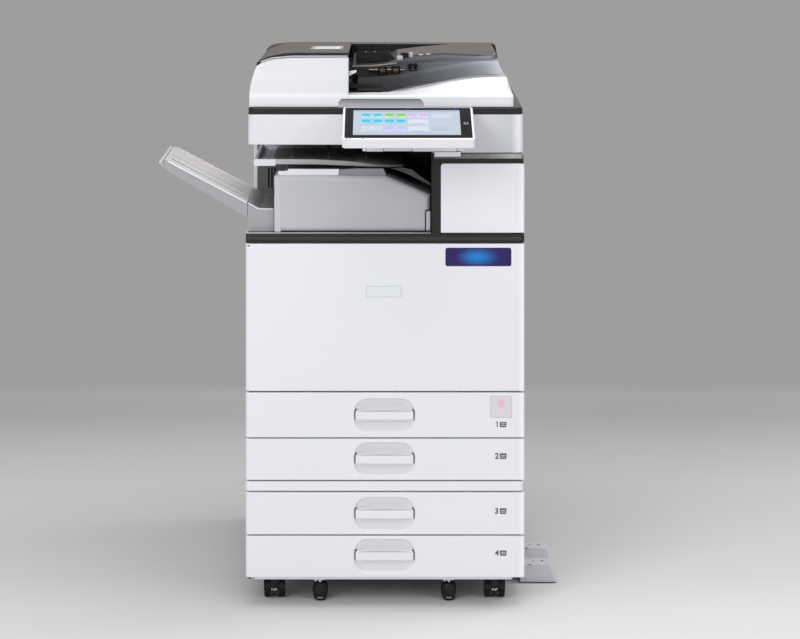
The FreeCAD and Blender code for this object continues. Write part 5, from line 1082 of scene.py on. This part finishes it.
# ------------------------------------------------------------------ base, casters
prism("base_lip", "xz", [(-274, 57.4), (270, 57.4), (270, 62.2), (-274, 62.2)], 3.4, 30, surface("base_lip_grey", (214, 216, 219), rough=0.4), "machine", bevel=0.7)
for k, x in enumerate((-284.5, 283)):
    lathe("base_screw_%d" % k, [(0, 0), (2.6, 0), (3.0, 0.6), (3.0, 2.0), (0, 2.0)], (x, -0.6 + 4.5, 61.2), "y", BLACK, "machine", n=20)
CAST = {"front_left": (-235, 57), "front_right": (235, 57), "rear_left": (-235, 600), "rear_right": (235, 600)}
HUB = surface("caster_hub", (36, 36, 38), rough=0.35, wear=0.12)
for nm, (cx, cy) in CAST.items():
    lo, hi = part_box("caster_%s_wheels" % nm)
    wx0, wx1 = lo[0] * 1000 - OX, hi[0] * 1000 - OX
    wy = (lo[1] + hi[1]) * 500 - OY; wz = (lo[2] + hi[2]) * 500
    r = (hi[2] - lo[2]) * 500
    for s, xx in ((-1, wx0), (1, wx1)):
        lathe("hub_%s_%s" % (nm, "l" if s < 0 else "r"), [(0, 0), (r * 0.30, 0), (r * 0.34, 0.5), (r * 0.60, 0.8), (r * 0.66, 1.4), (r * 0.66, 3.2), (0, 3.2)] if s < 0 else [(0, -3.2), (r * 0.66, -3.2), (r * 0.66, -1.4), (r * 0.60, -0.8), (r * 0.34, -0.5), (r * 0.30, 0), (0, 0)], (xx + 0.5 * s, wy, wz), "x", HUB, "caster_%s_wheels" % nm, n=40)
        for k in range(5):
            a = 2 * math.pi * k / 5
            lathe("hub_dot_%s_%s_%d" % (nm, "l" if s < 0 else "r", k), [(0, -0.3), (r * 0.07, -0.3), (r * 0.07, 0.3), (0, 0.3)], (xx + (0.5 - 0.5) * s + s * 0.1, wy + r * 0.47 * math.cos(a), wz + r * 0.47 * math.sin(a)), "x", BLACK, "caster_%s_wheels" % nm, n=12)
    lathe("swivel_ring_%s" % nm, [(0, 0), (15.5, 0), (16.2, 0.6), (16.2, 2.4), (15.0, 3.2), (0, 3.2)], (cx, cy, 53.2), "z", STEEL, "machine", n=36)
for nm, s in (("left", -1), ("right", 1)):
    lathe("foot_nut_%s" % nm, [(0, 0), (8.5, 0), (8.5, 4.6), (7.8, 5.2), (0, 5.2)], (137 * s, 54, 50.6), "z", STEEL, "machine", n=6, sharp=20)
    lathe("foot_boot_%s" % nm, [(9.5, 2.0), (12.6, 2.6), (14.6, 8), (16.2, 15), (16.9, 22), (16.6, 28), (15.0, 34), (12.2, 39), (9.6, 41.4), (7.0, 42.0)], (137 * s, 54, 0), "z", BLACK, "levelling_foot_" + nm, n=44, sharp=60)
    for k in range(3):
        rbox("foot_plate_%s_%d" % (nm, k), 137 * s - 11 + 8 * k, 137 * s - 6 + 8 * k, 30 + 2 * (k % 2), 33, 50.5 + 1.5 * (k % 2), 57.2, STEEL, "machine", bevel=0.6)
for nm, s in (("left", -1), ("right", 1)):
    # pale stamped hanger in front of the boot
    prism("foot_hanger_" + nm, "xz", [(137 * s - 12.5, 56.8), (137 * s - 12.5, 46.0, 1), (137 * s - 8.5, 43.2, 0.8), (137 * s - 5.0, 47.4), (137 * s, 41.2, 0.8), (137 * s + 4.6, 47.4), (137 * s + 9.0, 46.0, 0.8), (137 * s + 12.5, 50.5), (137 * s + 12.5, 56.8)], 33.6, 35.0, WHITE_SIDE, "machine", bevel=0.3)
    prism("foot_badge_" + nm, "xz", rect(137 * s - 6.0, 137 * s + 6.0, 6.2, 9.0, 1.0), 39.0, 40.4, MID_GREY, "levelling_foot_" + nm, bevel=0.3)
for nm, (cx, cy) in CAST.items():
    yf = -1 if cy < 300 else 1
    lo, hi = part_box("caster_%s_wheels" % nm)
    ax = (lo[1] + hi[1]) * 500 - OY
    ys = ax - 17.5 if cy < 300 else ax + 17.5
    # skirt between the two wheels, with the brake's bright marks on it
    prism("caster_skirt_" + nm, "xz", [(cx - 6.6, 34), (cx - 6.6, 6.5, 2.5), (cx + 6.6, 6.5, 2.5), (cx + 6.6, 34)], ys, ys + 1.6, BLACK, "caster_%s_yoke" % nm, bevel=0.5)
    for k, (dx, dz, w, hh) in enumerate(((-5.0, 23.5, 2.2, 6.0), (-1.8, 21.8, 1.8, 3.6), (1.4, 22.2, 2.6, 6.6), (4.8, 24.0, 2.0, 4.6))):
        h = hit(["caster_%s_yoke" % nm], (cx + dx, cy + yf * 200, dz), (0, -yf, 0))
        if h and abs(h[1] - cy) < 60:
            prism("caster_mark_%s_%d" % (nm, k), "xz", rect(cx + dx - w / 2, cx + dx + w / 2, dz - hh / 2, dz + hh / 2, 0.9), h[1] - (2.6 if yf < 0 else 0.6), h[1] + (0.6 if yf < 0 else 2.6), BRIGHT, "caster_%s_yoke" % nm, bevel=0.1)
for k, yc in enumerate((200, 322)):
    for q, (x, y) in enumerate(((318, yc - 22), (318, yc + 22), (346, yc))):
        h = hit(["stabilisers"], (x, y, 80), (0, 0, -1))
        if h:
            lathe("stabiliser_screw_%d_%d" % (k, q), [(0, 0), (3.4, 0), (3.4, 0.5), (0, 0.5)], (x, y, h[2] - 0.25), "z", INK, "machine", n=20)
    prism("stabiliser_pad_%d" % k, "xy", rect(330, 366, yc - 12, yc + 12, 6), 0.3, 3.2, RUBBER, "machine", bevel=0.5)

# ------------------------------------------------------------------ right-hand side and rear
for nm, y0, y1, z0, z1, body in (("right_door_pull", 270, 410, 716, 744, "right_door"), ("bypass_pull", 270, 380, 618, 636, "bypass_tray"), ("bank_pull", 280, 400, 205, 228, "bank_side_door")):
    film(nm + "_shade", [{"right_door": "right_door", "bypass_tray": "bypass_tray", "bank_side_door": "bank_side_door"}[body]], "right", y0 + 4, y1 - 4, z0 + 3, z1 - 6, MID_GREY, body, off=0.1, na=6, nb=2)
# generic rating plate, caution bar and service card at the rear
film("rating_plate", ["rear_cover"], "top", 0, 1, 0, 1, LABEL, "machine") if False else None


def rear_plate(name, x0, x1, z0, z1, mat, t=0.3, y=None, r=1.0, bevel=0.05):
    yy = y if y is not None else (hit(["rear_cover"], ((x0 + x1) / 2, 760, (z0 + z1) / 2), (0, -1, 0)) or (0, 680, 0))[1]
    return prism(name, "xz", rect(x0, x1, z0, z1, r), yy - 0.2, yy + t, mat, "machine", bevel=bevel)


rear_plate("rating_plate", 60, 140, 330, 380, surface("foil_silver", (200, 201, 203), rough=0.25, metallic=0.7, wear=0))
for k in range(6):
    rear_plate("rating_line_%d" % k, 66, 134 - 9 * (k % 3), 338 + 6.5 * k, 339.6 + 6.5 * k, INK, t=0.4, r=0.2)
rear_plate("rear_card", -60, -10, 700, 736, surface("card_grey", (206, 207, 210), rough=0.5, wear=0))
rear_plate("caution_bar", -56, -14, 704, 718, LABEL, t=0.4, r=0.5)
# sockets of the interface board
for k, (x0, x1, z0, z1, m) in enumerate(((-232, -214, 520, 536, BRIGHT), (-204, -190, 520, 528, BRIGHT), (-204, -190, 500, 508, BRIGHT), (-234, -180, 470, 484, BLUE), (-232, -206, 440, 452, BLACK))):
    h = hit(["controller_and_mains", "rear_cover", "main_frame"], ((x0 + x1) / 2, 760, (z0 + z1) / 2), (0, -1, 0))
    yy = min((h[1] if h else 662), 668)
    prism("socket_%d" % k, "xz", rect(x0, x1, z0, z1, 1.0), yy - 2, yy + 6, m, "machine", bevel=0.5)
    prism("socket_hole_%d" % k, "xz", rect(x0 + 2.5, x1 - 2.5, z0 + 2.5, z1 - 2.5, 0.6), yy + 5.4, yy + 6.15, INK, "machine")

# ------------------------------------------------------------------ soft shadow edge along the top of each tray's grip bar
EDGE = surface("grip_edge_grey", (172, 173, 178), rough=0.45, tone_var=0.02, wear=0.03)
for n, zc in ((1, 404.6), (2, 311.9), (3, 196.0), (4, 107.7)):
    node = ["paper_tray_%d_front" % n]
    h0 = hit(node, (0, -300, zc + 4), (0, 1, 0))
    if not h0:
        continue
    top = None
    for q in range(2, 40):
        z = zc + 0.5 * q
        h = hit(node, (0, -300, z), (0, 1, 0))
        if not h or h[1] > h0[1] + 3.5:
            top = z; break
    if top:
        up = [(-57 + 6 * k, top + 0.4 + 0.9 * (1 - ((-57 + 6 * k) / 57.0) ** 2)) for k in range(20)]
        dn = [(57 - 6 * k, top - 0.9 + 0.5 * (1 - ((57 - 6 * k) / 57.0) ** 2)) for k in range(20)]
        prism("grip_edge_%d" % n, "xz", up + dn, h0[1] - 0.15, h0[1] + 1.6, EDGE, "paper_tray_%d" % n, bevel=0.3)

# ------------------------------------------------------------------ soft outer rims of the front mouldings, their white brightening to the outer edge as a painted highlight
RIM_HIGHLIGHT = ramp_material("white_rim", [(0.0, (229, 230, 234)), (0.45, (233, 234, 238)), (0.8, (242, 243, 246)), (1.0, (240, 241, 244))], 0, 280.5, 293.5, rough=0.38)
for nm, z0, z1, body, yf in [("front_door", 456.6, 767.2, "front_door", 0.0), ("upper_right_panel", 791.6, 935.0, "machine", -1.9)] + \
        [("tray_%d" % n, a + 0.6, b - 0.6, "paper_tray_%d" % n, 0.0) for n, a, b in ((1, 358, 452.6), (2, 268, 355.2), (3, 153, 242), (4, 62.5, 150))]:
    prism(nm + "_outer_rim", "xy", [(280.5, yf + 0.5), (281.0, yf - 0.10), (291.8, yf - 0.10, 1.2), (295.5, yf + 2.6, 2.2), (295.3, 13.0, 1.0), (293.9, 14.2), (293.9, yf + 3.2), (291.0, yf + 0.5)], z0, z1, RIM_HIGHLIGHT, body, bevel=0.08)
prism("band_outer_rim", "xy", [(286.0, 0.4), (286.4, -0.62), (292.4, -0.62, 1.4), (295.3, 2.2, 2.0), (295.1, 12.0, 1.0), (293.9, 13.4), (293.9, 3.0), (291.0, 0.4)], 769.8, 788.2, DARK, "machine", bevel=0.3)
# ------------------------------------------------------------------ stage, light, camera
# painted light falloff: the floor's tone darkens towards the back
FLOOR_FALLOFF_STOPS = [(-0.465, 221), (-0.2675, 218), (-0.0455, 208), (0.197, 203), (0.4625, 201), (0.755, 201), (1.08, 193), (1.44, 178)]
WALL_TONE = (159, 158, 159)
FLOOR_GAIN = 0.97
WALL_Y = 2.05      # metres behind the machine's centre
RAD = 0.45


def stage_material():
    """Seamless paper: a matt floor with painted light falloff, its tone darkening towards the back, and an evenly lit
    back wall.
    """
    m, nt, out = _new("studio_paper")
    N, L = nt.nodes.new, nt.links.new
    b = N("ShaderNodeBsdfPrincipled"); b.inputs["Roughness"].default_value = 0.75; b.inputs["Specular IOR Level"].default_value = 0.15
    tc = N("ShaderNodeTexCoord"); sep = N("ShaderNodeSeparateXYZ"); L(tc.outputs["Object"], sep.inputs[0])
    mr = N("ShaderNodeMapRange"); mr.inputs[1].default_value = -0.6; mr.inputs[2].default_value = 1.6; L(sep.outputs[1], mr.inputs[0])
    cr = N("ShaderNodeValToRGB"); cr.color_ramp.interpolation = "EASE" if False else "LINEAR"
    els = cr.color_ramp.elements
    while len(els) < len(FLOOR_FALLOFF_STOPS): els.new(0.5)
    for e, (y, v) in zip(els, FLOOR_FALLOFF_STOPS):
        e.position = (y + 0.6) / 2.2
        c = lin((v * FLOOR_GAIN,) * 3); e.color = c
    L(mr.outputs[0], cr.inputs[0])
    n = N("ShaderNodeTexNoise"); n.inputs["Scale"].default_value = 3.0; n.inputs["Detail"].default_value = 6.0
    L(tc.outputs["Object"], n.inputs["Vector"])
    r2 = N("ShaderNodeMapRange"); r2.inputs[3].default_value = 0.985; r2.inputs[4].default_value = 1.015; L(n.outputs["Fac"], r2.inputs[0])
    c = N("ShaderNodeCombineColor")
    for k in range(3): L(r2.outputs[0], c.inputs[k])
    mul = N("ShaderNodeMix"); mul.data_type = "RGBA"; mul.blend_type = "MULTIPLY"; mul.inputs[0].default_value = 1.0
    L(cr.outputs[0], mul.inputs[6]); L(c.outputs[0], mul.inputs[7]); L(mul.outputs[2], b.inputs["Base Color"])
    bump = N("ShaderNodeBump"); bump.inputs["Strength"].default_value = 0.04; bump.inputs["Distance"].default_value = 0.001
    n2 = N("ShaderNodeTexNoise"); n2.inputs["Scale"].default_value = 300.0; L(tc.outputs["Object"], n2.inputs["Vector"]); L(n2.outputs["Fac"], bump.inputs["Height"])
    L(bump.outputs[0], b.inputs["Normal"])
    wall = N("ShaderNodeEmission"); wall.inputs[0].default_value = lin(WALL_TONE)
    up = N("ShaderNodeMapRange"); up.inputs[1].default_value = 0.0; up.inputs[2].default_value = 0.025; up.interpolation_type = "SMOOTHSTEP"; L(sep.outputs[2], up.inputs[0])
    mx = N("ShaderNodeMixShader"); L(up.outputs[0], mx.inputs[0]); L(b.outputs[0], mx.inputs[1]); L(wall.outputs[0], mx.inputs[2])
    # the sheet can be looked through from behind
    geo = N("ShaderNodeNewGeometry"); tr = N("ShaderNodeBsdfTransparent"); mb = N("ShaderNodeMixShader")
    L(geo.outputs["Backfacing"], mb.inputs[0]); L(mx.outputs[0], mb.inputs[1]); L(tr.outputs[0], mb.inputs[2])
    L(mb.outputs[0], out.inputs[0])
    return m


def sweep():
    prof = [(-9.0, -0.0004), (WALL_Y - RAD, -0.0004)]
    for k in range(1, 17):
        a = math.pi / 2 * k / 16
        prof.append((WALL_Y - RAD + RAD * math.sin(a), RAD - RAD * math.cos(a)))
    prof.append((WALL_Y, 7.0))
    verts, faces = [], []
    for x in (-9.0, 9.0):
        verts += [(x, y, z) for y, z in prof]
    n = len(prof)
    for i in range(n - 1):
        faces.append((i, n + i, n + i + 1, i + 1))
    me = bpy.data.meshes.new("studio_sweep"); me.from_pydata(verts, [], faces)
    for p in me.polygons: p.use_smooth = True
    me.materials.append(stage_material())
    o = bpy.data.objects.new("studio_sweep", me)
    bpy.context.scene.collection.objects.link(o)
    o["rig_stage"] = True


sweep()


def area(name, loc, target, size, size_y, power, color=(1, 1, 1), spread=180):
    d = bpy.data.lights.new(name, "AREA"); d.shape = "RECTANGLE"; d.size = size; d.size_y = size_y; d.energy = power; d.color = color
    d.spread = math.radians(spread)
    o = bpy.data.objects.new(name, d); bpy.context.scene.collection.objects.link(o)
    o.location = loc
    o.rotation_euler = (Vector(target) - Vector(loc)).to_track_quat("-Z", "Y").to_euler()
    return o


area("key_left", (-2.7, -4.4, 3.2), (0, 0, 0.55), 2.6, 2.6, 127)
area("fill_right", (3.4, -3.8, 2.4), (0, 0, 0.6), 2.6, 2.6, 44)
area("back_right", (3.0, 0.9, 3.4), (0, 0, 0.3), 1.8, 1.8, 36)
area("top", (0.3, -0.4, 4.6), (0.0, 0.0, 0.0), 4.0, 3.0, 92)
w = bpy.data.worlds.new("studio_air"); bpy.context.scene.world = w
w.use_nodes = True
wt = w.node_tree
bg = wt.nodes["Background"]; bg.inputs[0].default_value = (0.84, 0.845, 0.86, 1); bg.inputs[1].default_value = 0.55
bg2 = wt.nodes.new("ShaderNodeBackground"); bg2.inputs[0].default_value = lin((170, 170, 171)); bg2.inputs[1].default_value = 1.0
lpn = wt.nodes.new("ShaderNodeLightPath"); mxw = wt.nodes.new("ShaderNodeMixShader")
wt.links.new(lpn.outputs["Is Camera Ray"], mxw.inputs[0]); wt.links.new(bg.outputs[0], mxw.inputs[1]); wt.links.new(bg2.outputs[0], mxw.inputs[2])
wt.links.new(mxw.outputs[0], next(n for n in wt.nodes if n.type == "OUTPUT_WORLD").inputs[0])

cam = bpy.data.cameras.new("camera")
cam.sensor_width = 36.0
cam.lens = 106.56
cam.clip_start = 0.05
cam.clip_end = 60
co = bpy.data.objects.new("camera", cam)
bpy.context.scene.collection.objects.link(co)
co.location = (0.051985, -5.261525, 1.588)
co.rotation_euler = (math.radians(90), 0, 0)
bpy.context.scene.camera = co
# The front view is taken with a raised, level camera and a shifted lens, so that upright edges stay parallel.
# The shift belongs to that one place: it fades out as soon as the camera stands anywhere else.
for attr, val in (("shift_x", 0.0194), ("shift_y", -0.5806)):
    fc = cam.driver_add(attr)
    fc.driver.type = "AVERAGE"
    v = fc.driver.variables.new(); v.type = "TRANSFORMS"
    v.targets[0].id = co; v.targets[0].transform_type = "LOC_Y"; v.targets[0].transform_space = "WORLD_SPACE"
    for md in list(fc.modifiers): fc.modifiers.remove(md)
    while len(fc.keyframe_points): fc.keyframe_points.remove(fc.keyframe_points[0])
    for yy, amount in ((-5.32, 0.0), (-5.29, val), (-5.23, val), (-5.20, 0.0)):
        kp = fc.keyframe_points.insert(yy, amount); kp.interpolation = "LINEAR"
    fc.extrapolation = "CONSTANT"
bpy.context.scene.view_settings.view_transform = "Standard"
bpy.context.scene.view_settings.look = "None"
bpy.context.scene.view_settings.exposure = 0.0

# ------------------------------------------------------------------ finish each new piece takes from the record
for o in list(bpy.context.scene.objects):
    if o.type != "MESH" or o in CAD_OBJECTS or o.get("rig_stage") or not o.data.materials or not o.data.materials[0]:
        continue
    nm = o.data.materials[0].name
